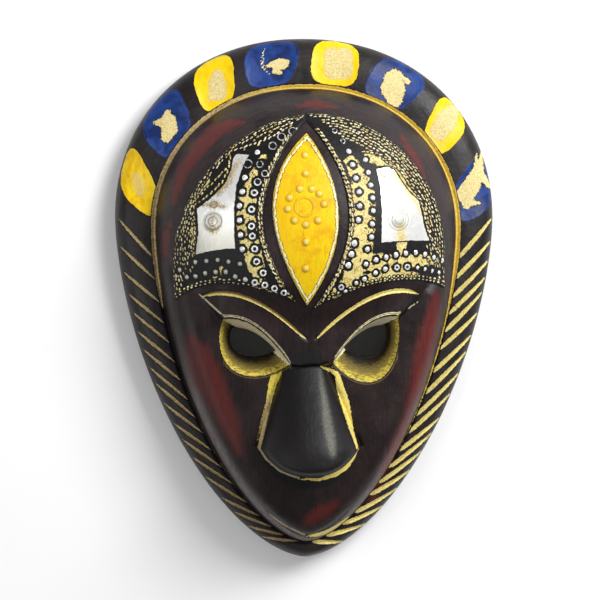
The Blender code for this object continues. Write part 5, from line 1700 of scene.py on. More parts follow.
# Embossed sheets, in millimetres. A row of beads or punched rings has a path, a count and a radius. A circle
# has its middle and radius. Cream ground and stains are points with a half width there
Row = namedtuple("Row", "path count radius")
SheetWork = namedtuple("SheetWork", "bead_rows ring_rows panel ropes cream stain circles margin_insets")
MARGIN_REACH = (0.7, 12.0)
LEFT_WORK = SheetWork(
    bead_rows=(
        Row(((-27.4, 73.6),), 1, 1.4),
        Row(((-33.8, 60.6), (-35.2, 53.0), (-36.6, 45.8), (-36.4, 35.1), (-35.1, 24.5)), 6, 1.5),
        Row(((-58.6, 18.4), (-46.6, 19.3), (-36.3, 17.2)), 5, 1.2),
        Row(((-66.6, 14.5), (-62.0, 9.5), (-55.8, 12.5), (-49.9, 13.0), (-44.6, 13.9), (-38.8, 10.9),
             (-33.5, 9.3)), 8, 1.3),
    ),
    ring_rows=(
        Row(((-9.4, 84.6), (-14.7, 82.0), (-19.6, 76.8)), 3, 1.9),
        Row(((-32.2, 67.6),), 1, 2.1),
        Row(((-26.2, 67.2), (-23.6, 62.6), (-27.4, 58.2)), 3, 1.6),
        Row(((-29.1, 52.8), (-30.9, 42.1), (-30.5, 36.0)), 3, 1.35),
        Row(((-30.1, 31.0), (-28.9, 24.5), (-28.6, 19.4), (-24.6, 12.6)), 4, 1.3),
        Row(((-28.7, 7.9), (-23.2, 6.4), (-18.2, 4.6), (-14.2, 2.6)), 4, 1.25),
    ),
    panel=(
        (-37.9, 72.9), (-31.6, 72.4), (-34.6, 66.9), (-38.1, 56.6), (-39.2, 44.8), (-39.2, 32.2),
        (-38.7, 24.8), (-43.5, 24.9), (-51.3, 23.8), (-58.5, 22.2), (-57.0, 33.4), (-57.8, 45.3),
        (-52.1, 49.4), (-47.8, 53.3), (-43.5, 57.9), (-40.5, 64.7), (-39.5, 70.7),
    ),
    ropes=(
        ((-60.0, 22.3), (-58.6, 33.5), (-59.4, 46.0)),
        ((-59.0, 47.2), (-53.3, 51.0), (-49.0, 54.6), (-44.8, 59.0), (-41.9, 65.2), (-41.0, 71.5)),
        ((-40.6, 74.4), (-33.9, 76.4), (-22.0, 80.6), (-10.0, 87.4)),
    ),
    cream=(
        ((-24.4, 70.8, 1.6), (-29.5, 60.9, 2.4), (-32.6, 50.3, 4.4), (-33.4, 39.1, 4.8), (-32.0, 29.0, 4.8),
         (-29.6, 20.4, 4.2), (-26.5, 11.3, 3.4)),
        ((-27.5, 5.0, 1.4), (-18.8, 3.7, 2.2), (-9.1, -0.3, 1.6)),
        ((-60.0, 22.0, 0.8), (-59.5, 33.5, 1.2), (-62.0, 46.8, 1.4), (-52.7, 59.5, 1.2)),
        ((-49.0, 11.0, 0.8), (-45.0, 14.5, 1.6)),
        ((-15.7, 74.7, 0.7), (-20.2, 64.2, 0.9), (-25.4, 49.2, 0.9), (-26.6, 43.0, 0.8), (-26.2, 35.2, 0.8),
         (-24.6, 27.4, 0.9), (-18.7, 13.5, 1.1), (-12.4, 4.9, 0.8)),
    ),
    stain=(
        ((-36.0, 69.8, 1.0), (-39.4, 65.4, 1.6), (-42.9, 58.3, 2.2), (-47.5, 54.0, 2.4)),
        ((-55.0, 47.0, 0.8), (-49.4, 47.4, 2.0), (-44.1, 46.1, 1.0)),
        ((-52.6, 35.2, 0.7), (-49.4, 34.0, 1.4), (-46.6, 35.6, 0.7)),
        ((-49.4, 41.6, 0.9), (-49.4, 36.0, 0.7)),
    ),
    circles=((-49.4, 38.7, 4.1), (-49.4, 38.7, 2.2), (-49.2, 47.2, 1.6)),
    margin_insets=np.arange(*MARGIN_REACH, 1.25),
)
RIGHT_WORK = SheetWork(
    bead_rows=(
        Row(((18.8, 74.2), (22.0, 60.6), (24.1, 50.9), (23.0, 39.1)), 6, 1.45),
        Row(((20.9, 27.5), (18.0, 16.4)), 3, 1.6),
        Row(((27.3, 69.9), (29.3, 59.7), (30.9, 47.4), (29.8, 30.6)), 7, 1.4),
        Row(((27.7, 24.5), (27.1, 16.7), (26.5, 9.6)), 3, 1.3),
        Row(((32.3, 19.3), (45.5, 22.5), (55.8, 23.4), (69.5, 19.6)), 8, 1.4),
        Row(((32.2, 12.7), (37.3, 14.7)), 2, 1.3),
        Row(((55.0, 15.6), (60.5, 14.8), (67.8, 13.1)), 4, 1.1),
        Row(((22.4, 7.6), (17.0, 3.4)), 2, 1.1),
    ),
    ring_rows=(
        Row(((12.1, 84.9), (16.0, 79.5)), 2, 1.15),
        Row(((43.5, 15.6), (49.3, 15.9)), 2, 1.1),
        Row(((14.7, 5.5),), 1, 1.1),
    ),
    panel=(
        (33.0, 65.2), (38.9, 66.7), (42.5, 65.1), (45.9, 59.5), (49.9, 54.5), (55.4, 49.5),
        (56.9, 43.5), (58.6, 35.8), (61.4, 29.6), (49.2, 29.3), (41.9, 28.7), (35.1, 28.0),
        (35.3, 36.0), (35.3, 46.2), (34.6, 56.5),
    ),
    ropes=(
        ((26.3, 74.2), (34.3, 73.4), (43.6, 68.9), (50.8, 57.6), (56.4, 51.0), (59.6, 38.6), (62.8, 29.0),
         (66.5, 23.5)),
        ((16.0, 82.0), (22.5, 79.2), (30.5, 74.8)),
    ),
    cream=(
        ((19.3, 69.3, 2.6), (24.3, 60.1, 4.6), (26.2, 47.8, 6.0), (25.6, 36.6, 6.2), (24.6, 26.5, 5.8),
         (22.2, 17.9, 5.0), (19.9, 8.8, 4.4), (13.0, 2.0, 3.0)),
        ((25.2, 17.9, 4.6), (37.4, 18.0, 4.2), (48.3, 18.6, 3.8), (59.6, 19.5, 2.8), (66.0, 18.8, 1.6)),
        ((24.5, 8.9, 2.6), (35.0, 11.0, 2.8), (45.8, 12.4, 2.2), (56.0, 11.6, 1.0)),
        ((28.0, 71.2, 1.8), (33.3, 69.9, 2.4), (39.7, 68.6, 2.0), (43.9, 64.5, 1.0), (48.0, 57.3, 1.3),
         (52.4, 52.3, 1.5), (56.2, 48.3, 1.2), (58.5, 40.1, 1.0)),
        ((45.4, 31.0, 2.2), (46.0, 25.0, 2.6)),
        ((40.0, 78.0, 2.0), (48.0, 72.0, 2.4)),
    ),
    stain=(
        ((45.0, 36.9, 1.6), (45.6, 32.0, 2.8), (46.5, 26.0, 2.4)),
        ((35.4, 63.4, 1.0), (37.5, 58.0, 0.6)),
        ((38.5, 65.4, 1.0), (44.0, 62.0, 1.8), (48.5, 55.5, 1.6), (54.0, 49.0, 1.4), (57.0, 42.0, 0.8)),
    ),
    circles=(
        (44.1, 39.6, 2.2), (44.1, 39.6, 3.7), (44.1, 39.6, 5.3), (40.3, 55.4, 1.6), (36.6, 63.4, 1.9),
    ),
    margin_insets=np.arange(*MARGIN_REACH, 1.5),
)
CIRCLE_HALF_WIDTH = 0.32
LENS_CIRCLES = ((-4.3, 45.5, 4.7),)

# Rows of strokes, as insets from a sheet's edge, and how the strokes of each kind repeat, all in millimetres
Stroke = namedtuple("Stroke", "pitch length sway slant")
ROPE = Stroke(2.3, 1.35, 0.15, 0.3)
EDGE_ROPE = ROPE._replace(sway=0.2)
FOOT_DASH = Stroke(2.25, 0.45, 0.25, 0)
MARGIN_DASH = Stroke(2.25, 1.1, 0.38, 0.2)
LENS_ROPE = Stroke(1.6, 1.4, 0.3, 0.3)
STROKE_SHIFT = 0.3
STROKE_LENGTHS = (0.55, 1.3)
MARGIN_SLACK = 0.15
EDGE_ROPE_INSETS = (0.75, 1.9)
EDGE_ROPE_OVER_TOP = 1.03
EDGE_ROPE_STEPS = 60
FOOT_DASH_INSETS = (1.0, 2.5)
FOOT_DASH_SHARES = (0.55, 0.97)
FOOT_DASH_STEPS = 400
CLEAR_OF_BEADS = 2.5
CLEAR_OF_RINGS = 2.0
CLEAR_OF_ROPES = 0.9
PANEL_CLEARANCE = 1.6

# The lens's border, bosses and beads, in metres or as shares, and what the strokes' draws start from
LENS_BORDER_INSET = 0.0011
BOSS_SHARE = 0.82
BOSS_POWER = 1.5
BEAD_POWER = 2.4
USUAL_BEAD_RADIUS = 0.0015
SEED = 7


def points_along(path, count):
    """Even steps along a path of points."""
    path = np.array(path, dtype=float)
    lengths = np.concatenate([[0], np.cumsum(np.hypot(*np.diff(path, axis=0).T))])
    at = np.linspace(0, lengths[-1], count)
    return np.stack([np.interp(at, lengths, path[:, 0]), np.interp(at, lengths, path[:, 1])], axis=1)


def row_beads(rows):
    """Middle and radius, in millimetres, of every bead in some rows."""
    return [(x, y, row.radius) for row in rows for x, y in points_along(row.path, row.count)]


def path_length(path):
    return float(np.sum(np.hypot(*np.diff(path, axis=0).T)))


def strokes_along(path, stroke, chance):
    """Short strokes that follow a path one after the other, each a little out of line."""
    count = max(2, int(path_length(path) / stroke.pitch))
    middles = points_along(path, count)
    ahead = np.gradient(middles, axis=0)
    ahead /= np.maximum(np.hypot(ahead[:, 0], ahead[:, 1]), 1e-9)[:, None]
    aside = np.stack([-ahead[:, 1], ahead[:, 0]], axis=1)
    moved = middles + aside * chance.uniform(-stroke.sway, stroke.sway, (count, 1))
    moved = moved + ahead * chance.uniform(-STROKE_SHIFT, STROKE_SHIFT, (count, 1))
    reach = (ahead + aside * stroke.slant) * stroke.length / 2 * chance.uniform(*STROKE_LENGTHS, (count, 1))
    return [np.stack([spot - half, spot + half]) for spot, half in zip(moved, reach)]


def clear_of(dash, spots, reach):
    """Whether a stroke's middle is further than a reach from some spots."""
    return np.hypot(*(np.array(spots) - dash.mean(axis=0)).T).min() > reach


def circle_strokes(circles, steps=14):
    turns = np.arange(steps + 1) * 2 * math.pi / steps
    round_once = paired(np.cos(turns), np.sin(turns))
    return [np.array((x, y)) + radius * round_once for x, y, radius in circles]


def on_circle(x, y, circle):
    """Millimetres inside the line of a circle."""
    return CIRCLE_HALF_WIDTH - np.abs(np.hypot(x - circle[0], y - circle[1]) - circle[2])


def margin_path(side, inset, sheet):
    """The part of a sheet's outer edge that an inset row follows, in millimetres."""
    egg = smaller(plate_egg(side), inset * MM)
    path = egg_points(egg, 2 * RING_STEPS) * (side.sign, 1)
    path = path[inside(path, sheet)]
    path = path[distance_to(path, [(sheet, True)]) > (inset - MARGIN_SLACK) * MM]
    return path[np.argsort(np.arctan2(path[:, 0] * side.sign, path[:, 1] - PLATE_WIDEST_AT))] / MM


class SheetPlan:
    """Everything that is worked into one forehead sheet."""

    def __init__(self, side, outline):
        self.side, self.outline = side, outline
        self.work = LEFT_WORK if side.sign < 0 else RIGHT_WORK
        chance = np.random.default_rng(SEED + side.sign)
        self.panel = np.array(self.work.panel)
        self.beads = row_beads(self.work.bead_rows)
        rings = row_beads(self.work.ring_rows)
        self.dashes = circle_strokes(rings)
        solid = [(x, y) for x, y, _ in self.beads + rings]
        self.ropes = []
        for path in self.work.ropes:
            self.ropes += strokes_along(path, ROPE, chance)
        edge_rows = [(self.inner_edge(inset), EDGE_ROPE) for inset in EDGE_ROPE_INSETS]
        edge_rows += [(self.foot_path(inset), FOOT_DASH) for inset in FOOT_DASH_INSETS]
        for path, stroke in edge_rows:
            row = strokes_along(path, stroke, chance)
            self.ropes += [dash for dash in row if clear_of(dash, solid, CLEAR_OF_RINGS)]
        for inset in self.work.margin_insets:
            framed = np.concatenate(self.ropes)
            row = strokes_along(margin_path(side, inset, outline), MARGIN_DASH, chance)
            self.ropes += [dash for dash in row if self.has_room(dash.mean(axis=0), solid, framed)]

    def foot_path(self, inset):
        """A line just inside the sheet's lower edge, in millimetres."""
        near, far = np.array(FOOT_DASH_SHARES) * (LENS_HALF_WIDTH, plate_egg(self.side).half_width)
        reach = np.linspace(near, far, FOOT_DASH_STEPS)
        path = paired(self.side.sign * reach, plate_foot(self.side, reach) + inset * MM)
        return path[inside(path, self.outline)] / MM

    def inner_edge(self, inset):
        """A line just inside the edge beside the lens, in millimetres."""
        top = LENS_MIDDLE + LENS_HALF_HEIGHT * EDGE_ROPE_OVER_TOP
        y = np.linspace(LENS_MIDDLE - LENS_HALF_HEIGHT, top, EDGE_ROPE_STEPS)
        path = paired(self.side.sign * (band_edge(self.side, y) + inset * MM), y)
        return path[inside(path, self.outline)] / MM

    def has_room(self, spot, beads, ropes):
        """Whether a dash keeps clear of the panel, the beads and the ropes."""
        clear_panel = not inside(np.array([spot]), self.panel)[0]
        clear_panel &= distance_to(np.array([spot]), [(self.panel, True)])[0] > PANEL_CLEARANCE
        clear_beads = np.hypot(*(np.array(beads) - spot).T).min() > CLEAR_OF_BEADS
        return clear_panel and clear_beads and np.hypot(*(ropes - spot).T).min() > CLEAR_OF_ROPES

    def fields(self, corners):
        x, y = corners[:, 0] / MM, corners[:, 1] / MM
        spots = paired(x, y)
        gap = distance_to(spots, [(self.panel, True)])
        return {
            "panel": np.where(inside(spots, self.panel), gap, -np.minimum(gap, FAR)),
            "ground": along_paths(x, y, self.work.cream),
            "stain": along_paths(x, y, self.work.stain),
            "circle": np.max([on_circle(x, y, circle) for circle in self.work.circles], axis=0),
        }


class LensPlan:
    """Everything that is worked into the middle sheet."""

    def __init__(self, outline):
        chance = np.random.default_rng(SEED)
        middle = np.array((LENS_AXIS, LENS_MIDDLE))
        border = middle + (outline - middle) * (1 - LENS_BORDER_INSET / LENS_HALF_WIDTH)
        self.beads = []
        self.dashes = circle_strokes(LENS_CIRCLES, 40)
        self.ropes = strokes_along(np.concatenate([border, border[:1]]) / MM, LENS_ROPE, chance)
        for spot, radius, _ in raised_spots():
            if inside(np.array([spot]), outline)[0]:
                self.beads.append((spot[0] / MM, spot[1] / MM, radius / MM))

    def fields(self, corners):
        return {}


def over_wood(corners, rise):
    """Points at a distance over the wood, along its slope there."""
    x, y = corners[:, 0], corners[:, 1]
    slope_x = (skin_height(x + SLOPE_STEP, y) - skin_height(x - SLOPE_STEP, y)) / (2 * SLOPE_STEP)
    slope_y = (skin_height(x, y + SLOPE_STEP) - skin_height(x, y - SLOPE_STEP)) / (2 * SLOPE_STEP)
    normals = np.column_stack([-slope_x, -slope_y, np.ones_like(x)])
    normals /= np.linalg.norm(normals, axis=1)[:, None]
    return np.column_stack([corners, skin_height(x, y)]) + normals * np.reshape(rise, (-1, 1))


def fine_outline(outline, spacing):
    """A closed outline with its corners spaced evenly and closely."""
    closed = np.concatenate([outline, outline[:1]])
    return points_along(closed, int(path_length(closed) / spacing))[:-1]


def plain_sheet(name, outline, plan, spacing, finish):
    """A thin closed sheet on the wood, with its edge rolled down, before it is embossed."""
    edge = fine_outline(outline, SHEET_EDGE_SPACING)
    loose = grid_points(HEIGHT, spacing)
    low, high = outline.min(axis=0), outline.max(axis=0)
    loose = loose[np.all((loose > low) & (loose < high), axis=1)]
    loose = loose[inside(loose, outline)]
    loose = loose[~near_lines(loose, [(edge, True)], spacing * SHEET_EDGE_CLEARANCE)]
    corners, faces = triangulate([(edge, True)], loose)
    faces = keep_inside(corners, faces, edge)
    from_edge = distance_to(corners, [(outline, True)])
    roll = ease(from_edge / SHEET_EDGE_ROLL)
    boss = np.zeros(len(corners))
    for middle in BOSSES:
        share = clamp(np.hypot(corners[:, 0] - middle[0], corners[:, 1] - middle[1]) / BOSS_RADIUS)
        boss = np.maximum(boss, BOSS_HEIGHT * BOSS_SHARE * (1 - share**2) ** BOSS_POWER)
    rise = SHEET_EDGE_RISE + (SHEET_MIDDLE_RISE - SHEET_EDGE_RISE) * roll + boss
    top = over_wood(corners, rise)
    bottom = over_wood(corners, np.full(len(corners), SHEET_LIFT))
    shift = len(corners)
    walls = []
    for a, b in border_edges(faces):
        walls += [(b, a, a + shift), (b, a + shift, b + shift)]
    everything = np.concatenate([faces, faces[:, ::-1] + shift, np.array(walls)])
    fields = {field: np.concatenate([values, values]) for field, values in plan.fields(corners).items()}
    fields["edge"] = np.concatenate([from_edge, from_edge]) / MM
    fields["worked"] = np.concatenate([clamp(from_edge / SHEET_WORKED_FROM), np.zeros(len(corners))])
    return add_piece(name, np.concatenate([top, bottom]), everything, fields, [finish])


def bead_guide(beads):
    """The bead middles on the wood as loose points, each with its radius."""
    spots = np.array([(x, y) for x, y, _ in beads]) * MM
    mesh = bpy.data.meshes.new("bead_guide")
    mesh.from_pydata(over_wood(spots, np.full(len(spots), SHEET_MIDDLE_RISE)).tolist(), [], [])
    radii = [radius * MM for _, _, radius in beads]
    mesh.attributes.new("radius", "FLOAT", "POINT").data.foreach_set("value", radii)
    return bpy.data.objects.new("bead_guide", mesh)


def stroke_guide(strokes):
    """Strokes on the wood as chains of edges."""
    points, edges = [], []
    for stroke in strokes:
        first = len(points)
        points += over_wood(stroke * MM, np.full(len(stroke), SHEET_MIDDLE_RISE)).tolist()
        edges += [(first + step, first + step + 1) for step in range(len(stroke) - 1)]
    mesh = bpy.data.meshes.new("stroke_guide")
    mesh.from_pydata(points, edges, [])
    return bpy.data.objects.new("stroke_guide", mesh)


EMBOSS_INPUTS = (
    ("Beads", "NodeSocketObject"),
    ("Bead Height", FLOAT),
    ("Dashes", "NodeSocketObject"),
    ("Dash Half Width", FLOAT),
    ("Dash Height", FLOAT),
    ("Ropes", "NodeSocketObject"),
    ("Rope Half Width", FLOAT),
    ("Rope Height", FLOAT),
    ("Material", "NodeSocketMaterial"),
)


def emboss_tree():
    """Lifts a sheet under its beads, dashes and ropes, and keeps how far each point is from them."""
    made = bpy.data.node_groups.get("Emboss sheet")
    if made:
        return made
    tree = bpy.data.node_groups.new("Emboss sheet", "GeometryNodeTree")
    tree.is_modifier = True
    tree.interface.new_socket(name="Geometry", in_out="INPUT", socket_type="NodeSocketGeometry")
    for socket, kind in EMBOSS_INPUTS:
        tree.interface.new_socket(name=socket, in_out="INPUT", socket_type=kind)
    tree.interface.new_socket(name="Geometry", in_out="OUTPUT", socket_type="NodeSocketGeometry")
    w = Wiring(tree)
    given = w.add("NodeGroupInput").outputs
    sheet = given["Geometry"]

    beads = guide_geometry(w, given["Beads"])
    nearest = w.add("GeometryNodeSampleNearest", {0: beads}, domain="POINT").outputs[0]
    radius_at = named_attribute(w, "radius")
    sample = w.add("GeometryNodeSampleIndex", {0: beads}, data_type="FLOAT", domain="POINT")
    w.give(sample.inputs["Value"], radius_at)
    w.give(sample.inputs["Index"], nearest)
    radius = sample.outputs[0]
    to_bead = distance_from(w, beads, "POINTS")
    share = w.math("DIVIDE", to_bead, radius)
    dome = w.one_minus(w.math("POWER", w.math("MINIMUM", share, 1.0), BEAD_POWER))
    rise = w.times(w.times(dome, given["Bead Height"]), w.math("DIVIDE", radius, USUAL_BEAD_RADIUS))
    sheet = stored(w, sheet, "bead", w.math("DIVIDE", w.minus(to_bead, radius), MM))
    for kind, strokes in (("Dash", "Dashes"), ("Rope", "Ropes")):
        half_width, height = given[f"{kind} Half Width"], given[f"{kind} Height"]
        distance = distance_from(w, guide_geometry(w, given[strokes]), "EDGES")
        share = w.math("MINIMUM", w.math("DIVIDE", distance, half_width), 1.0)
        ridge = w.times(w.one_minus(w.math("POWER", share, 2.0)), height)
        rise = w.larger(rise, ridge)
        sheet = stored(w, sheet, kind.lower(), w.math("DIVIDE", w.minus(distance, half_width), MM))
    worked = named_attribute(w, "worked")
    normal = w.add("GeometryNodeInputNormal").outputs[0]
    lift = w.add("ShaderNodeVectorMath", {0: normal, 3: w.times(rise, worked)}, operation="SCALE").outputs[0]
    sheet = w.add("GeometryNodeSetPosition", {"Geometry": sheet, "Offset": lift}).outputs[0]
    sheet = w.add("GeometryNodeRealizeInstances", {0: sheet}).outputs[0]
    sheet = w.add("GeometryNodeSetMaterial", {"Geometry": sheet, "Material": given["Material"]}).outputs[0]
    w.add("NodeGroupOutput", {0: sheet})
    return tree


def named_attribute(w, name):
    return w.add("GeometryNodeInputNamedAttribute", {0: name}, data_type="FLOAT").outputs[0]


def guide_geometry(w, guide):
    return w.add("GeometryNodeObjectInfo", {"Object": guide}).outputs["Geometry"]


def distance_from(w, target, element):
    return w.add("GeometryNodeProximity", {0: target}, target_element=element).outputs["Distance"]


def stored(w, sheet, name, value):
    inputs = {"Geometry": sheet, "Name": name, "Value": value}
    return w.add("GeometryNodeStoreNamedAttribute", inputs, data_type="FLOAT", domain="POINT").outputs[0]


def embossed(piece, plan, work, finish):
    """Runs the emboss tree on a plain sheet and keeps the result as its mesh."""
    guides = [bead_guide(plan.beads), stroke_guide(plan.dashes), stroke_guide(plan.ropes)]
    for guide in guides:
        bpy.context.scene.collection.objects.link(guide)
    tree = emboss_tree()
    modifier = piece.modifiers.new("Emboss", "NODES")
    modifier.node_group = tree
    values = (
        guides[0], work.bead_height, guides[1], work.dash_half_width, work.dash_height,
        guides[2], work.rope_half_width, work.rope_height, finish,
    )
    named = {name: value for (name, _), value in zip(EMBOSS_INPUTS, values)}
    for item in tree.interface.items_tree:
        if item.in_out == "INPUT" and item.name in named:
            modifier[item.identifier] = named[item.name]
    graph = bpy.context.evaluated_depsgraph_get()
    worked = piece.evaluated_get(graph)
    mesh = bpy.data.meshes.new_from_object(worked, preserve_all_data_layers=True, depsgraph=graph)
    piece.modifiers.clear()
    old, piece.data = piece.data, mesh
    bpy.data.meshes.remove(old)
    mesh.name = piece.name
    mesh.shade_smooth()
    for guide in guides:
        data = guide.data
        bpy.data.objects.remove(guide)
        bpy.data.meshes.remove(data)
    return piece


def stand_for(piece, node):
    """Puts a finished piece in the place of its solid."""
    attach(piece, RIDES_ON)
    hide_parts(node)


# Stage: floor, lights and the camera at the photograph's angle
CAMERA_YAW = 3.5
CAMERA_DISTANCE = 0.9
CAMERA_AIM = (-0.0034, -0.00135, 0.020)
CAMERA_SHARPNESS = 1684.0
SENSOR = 36.0
CLIP_START = 0.01
LAMP_DISTANCE = 1.1
KEY_FROM = (0.62, 0.55, 0.75)
KEY_SIZE = 0.55
FILL_FROM = (-0.8, -0.15, 0.7)
FILL_SIZE = 0.8
SKY_BELOW = (0.55, 0.55, 0.56)
SKY_ABOVE = (1.0, 1.0, 1.0)
FLOOR_DROP = 0.0002
FLOOR_MOTTLE = 0.98
FLOOR_ROUGHNESS = 0.9


def make_camera():
    yaw = math.radians(CAMERA_YAW)
    data = bpy.data.cameras.new("camera")
    data.sensor_width = SENSOR
    data.lens = SENSOR * CAMERA_SHARPNESS / PHOTO_SIDE
    data.clip_start = CLIP_START
    camera = bpy.data.objects.new("camera", data)
    back = Vector((-math.sin(yaw), 0.0, math.cos(yaw)))
    camera.location = Vector(CAMERA_AIM) + back * CAMERA_DISTANCE
    camera.rotation_euler = (0.0, -yaw, 0.0)
    bpy.context.scene.collection.objects.link(camera)
    bpy.context.scene.camera = camera


def add_softbox(name, direction, size, power):
    """A large area light that faces the mask from a direction."""
    data = bpy.data.lights.new(name, "AREA")
    data.shape = "RECTANGLE"
    data.size = data.size_y = size
    data.energy = power
    lamp = bpy.data.objects.new(name, data)
    lamp.location = Vector(direction).normalized() * LAMP_DISTANCE
    lamp.rotation_euler = Vector(direction).to_track_quat("Z", "Y").to_euler()
    lamp.visible_camera = False
    bpy.context.scene.collection.objects.link(lamp)


def make_floor(stage):
    """A plain pale floor with the faint mottle of matt card."""
    half = stage.floor_size / 2
    corners = [(-half, -half), (half, -half), (half, half), (-half, half)]
    mesh = bpy.data.meshes.new("floor")
    mesh.from_pydata([(x, y, -FLOOR_DROP) for x, y in corners], [], [(0, 1, 2, 3)])
    material, w, shader = new_finish("pale_floor")
    mottle = w.noise(w.place(), 0.02, detail=3.0)
    darker = tuple(part * FLOOR_MOTTLE for part in stage.floor_colour)
    w.give(shader.inputs["Base Color"], w.mix(mottle, stage.floor_colour, darker))
    shader.inputs["Roughness"].default_value = FLOOR_ROUGHNESS
    mesh.materials.append(material)
    floor = bpy.data.objects.new("floor", mesh)
    bpy.context.scene.collection.objects.link(floor)


def make_world(stage):
    world = bpy.data.worlds.new("studio")
    world.use_nodes = True
    w = Wiring(world.node_tree)
    sky = world.node_tree.nodes["Background"]
    spot = w.add("ShaderNodeTexCoord").outputs["Generated"]
    height = w.step(w.parts(spot)[2], -0.1, 1.0)
    w.give(sky.inputs["Color"], w.mix(height, SKY_BELOW, SKY_ABOVE))
    sky.inputs["Strength"].default_value = stage.sky_strength
    bpy.context.scene.world = world


def colour_property(name, description, red, green, blue):
    """A colour setting, given as screen values from 0 to 255."""
    shade = linear(red, green, blue)
    return bpy.props.FloatVectorProperty(
        name=name, description=description, default=shade, min=0.0, max=1.0, size=3, subtype="COLOR"
    )


def length_property(name, description, default):
    kind = {"precision": 5, "unit": "LENGTH", "subtype": "DISTANCE"}
    return bpy.props.FloatProperty(name=name, description=description, default=default, min=0.0, **kind)


def number_property(name, description, default):
    return bpy.props.FloatProperty(name=name, description=description, default=default)


class CarvedWoodSettings(bpy.types.PropertyGroup):
    spacing: length_property("Front spacing", "Distance between the points of the carved front", 0.00098)
    back_spacing: length_property("Back spacing", "Distance between the points of the hollow back", 0.0027)


class PaintSettings(bpy.types.PropertyGroup):
    specular: number_property("Specular", "Shine of the paint and lacquer", 0.24)
    rim_dark: colour_property("Rim dark", "Darker shade of the rim's lacquer", 22, 19, 20)
    rim_light: colour_property("Rim light", "Lighter shade of the rim's lacquer", 46, 40, 40)
    face_dark: colour_property("Face dark", "Darker shade of the face's lacquer", 18, 13, 14)
    face_light: colour_property("Face light", "Lighter shade of the face's lacquer", 42, 27, 27)
    forehead_light: colour_property("Forehead light", "Lighter shade of the forehead band", 56, 43, 45)
    oxblood: colour_property("Oxblood", "Red brushed on round the forehead", 104, 34, 30)
    cheek_oxblood: colour_property("Cheek oxblood", "Deeper red brushed on the cheeks", 82, 24, 21)
    # Partly wear, partly a painted highlight along the face's lower edge
    edge_wear_and_highlight: colour_property("Edge wear", "Grey where the lacquer is rubbed", 128, 120, 118)
    dust: colour_property("Dust", "Pale dust held in the lacquer", 150, 140, 125)
    yellow: colour_property("Yellow", "Yellow of the crest cells and the lens", 240, 206, 12)
    # Also the painted shade on the lens's left half
    yellow_deep_and_shade: colour_property("Deep yellow", "Where the yellow is thick", 226, 172, 8)
    # Also the painted shade round the lens's dots and circle
    yellow_grime_and_shade: colour_property("Yellow grime", "Dirt in the yellow paint", 150, 105, 20)
    blue: colour_property("Blue", "Blue of the crest cells", 30, 60, 128)
    blue_deep: colour_property("Deep blue", "Where the blue is thin over black", 18, 38, 88)
    # Also a painted highlight near the blue cells' edges
    blue_light_and_highlight: colour_property("Light blue", "Where the blue is thick", 52, 86, 150)
    cream: colour_property("Cream", "Cream daubs in the cells", 226, 210, 150)
    cream_bright: colour_property("Bright cream", "Palest cream", 240, 230, 178)
    cream_shadow: colour_property("Cream shadow", "Specks in the cream", 190, 168, 106)
    gold_bright: colour_property("Bright gold", "Clean gold of the painted lines", 230, 214, 132)
    gold_muted: colour_property("Muted gold", "Dull gold of the painted lines", 166, 142, 86)
    gold_brown: colour_property("Brown gold", "Browned gold of the painted lines", 110, 86, 52)
    chin_yellow: colour_property("Chin yellow", "Yellow in the groove on the chin", 226, 196, 84)
    pale_grey: colour_property("Pale grey", "Thin grey lines", 168, 158, 140)
    nose_black: colour_property("Nose black", "Black of the nose", 13, 12, 15)
    # Painted highlight: the grey of the stripe down the nose
    nose_highlight: colour_property("Nose grey", "Grey rubbed down the nose", 112, 112, 102)
    cut_dull: colour_property("Dull cut", "Clean paint of the left cuts and lines", 206, 184, 136)
    strip_yellow: colour_property("Strip yellow", "Yellow beside the nose on the right", 236, 218, 118)
    lid_grey: colour_property("Lid grey", "The left lid's crescent", 196, 186, 154)
    crescent_grey: colour_property("Crescent grey", "Paint under the left lid", 232, 222, 188)
    crescent_cream: colour_property("Crescent cream", "Paint under the right lid", 255, 252, 222)
    socket_yellow: colour_property("Socket yellow", "Yellow at the rim of the eyes", 214, 194, 78)
    # Olive streaks, and painted shade further down the eyes
    socket_olive_and_shade: colour_property("Socket olive", "Olive further down the eyes", 122, 106, 52)
    # Painted shade at the dark end of the eyes
    socket_shade: colour_property("Socket dark", "The dark end of the eyes", 30, 25, 18)
    black: colour_property("Black", "Black outlines", 18, 15, 16)
    hollow_dark: colour_property("Hollow dark", "Darker shade of the hollow back", 40, 28, 22)
    # Also painted lighter on the ridges between the gouge's scoops
    hollow_light: colour_property("Hollow light", "Lighter shade of the hollow back", 84, 60, 44)
    hollow_dust: colour_property("Hollow dust", "Dust in the hollow back", 120, 98, 76)
    metal: colour_property("Aluminium", "Clean metal", 250, 250, 247)
    # Also painted shade at the foot of the left panel
    metal_grey: colour_property("Grey metal", "Metal in shade or scratched", 168, 165, 152)
    metal_warm: colour_property("Warm metal", "Metal with a film of varnish", 222, 214, 180)
    sheet_black: colour_property("Sheet black", "Black rubbed into the sheets", 16, 14, 15)
    sheet_grey: colour_property("Sheet grey", "Where that black is thin", 42, 40, 41)
    sheet_cream: colour_property("Sheet cream", "Cream rubbed over the sheets", 228, 212, 140)
    sheet_pale: colour_property("Sheet pale", "Clean strands of the ropes", 222, 208, 150)
    sheet_white: colour_property("Sheet white", "Palest strands and the lens's border", 246, 240, 206)
    stain_brown: colour_property("Stain brown", "Brown varnish on the left panel", 132, 116, 80)
    ring_grey: colour_property("Ring grey", "Circles punched in the right panel", 142, 140, 112)
    bead_dull: colour_property("Dull bead", "Beads in the shade on the left", 160, 157, 142)
    sheet_ochre: colour_property("Sheet ochre", "Where that cream is thick", 196, 164, 88)


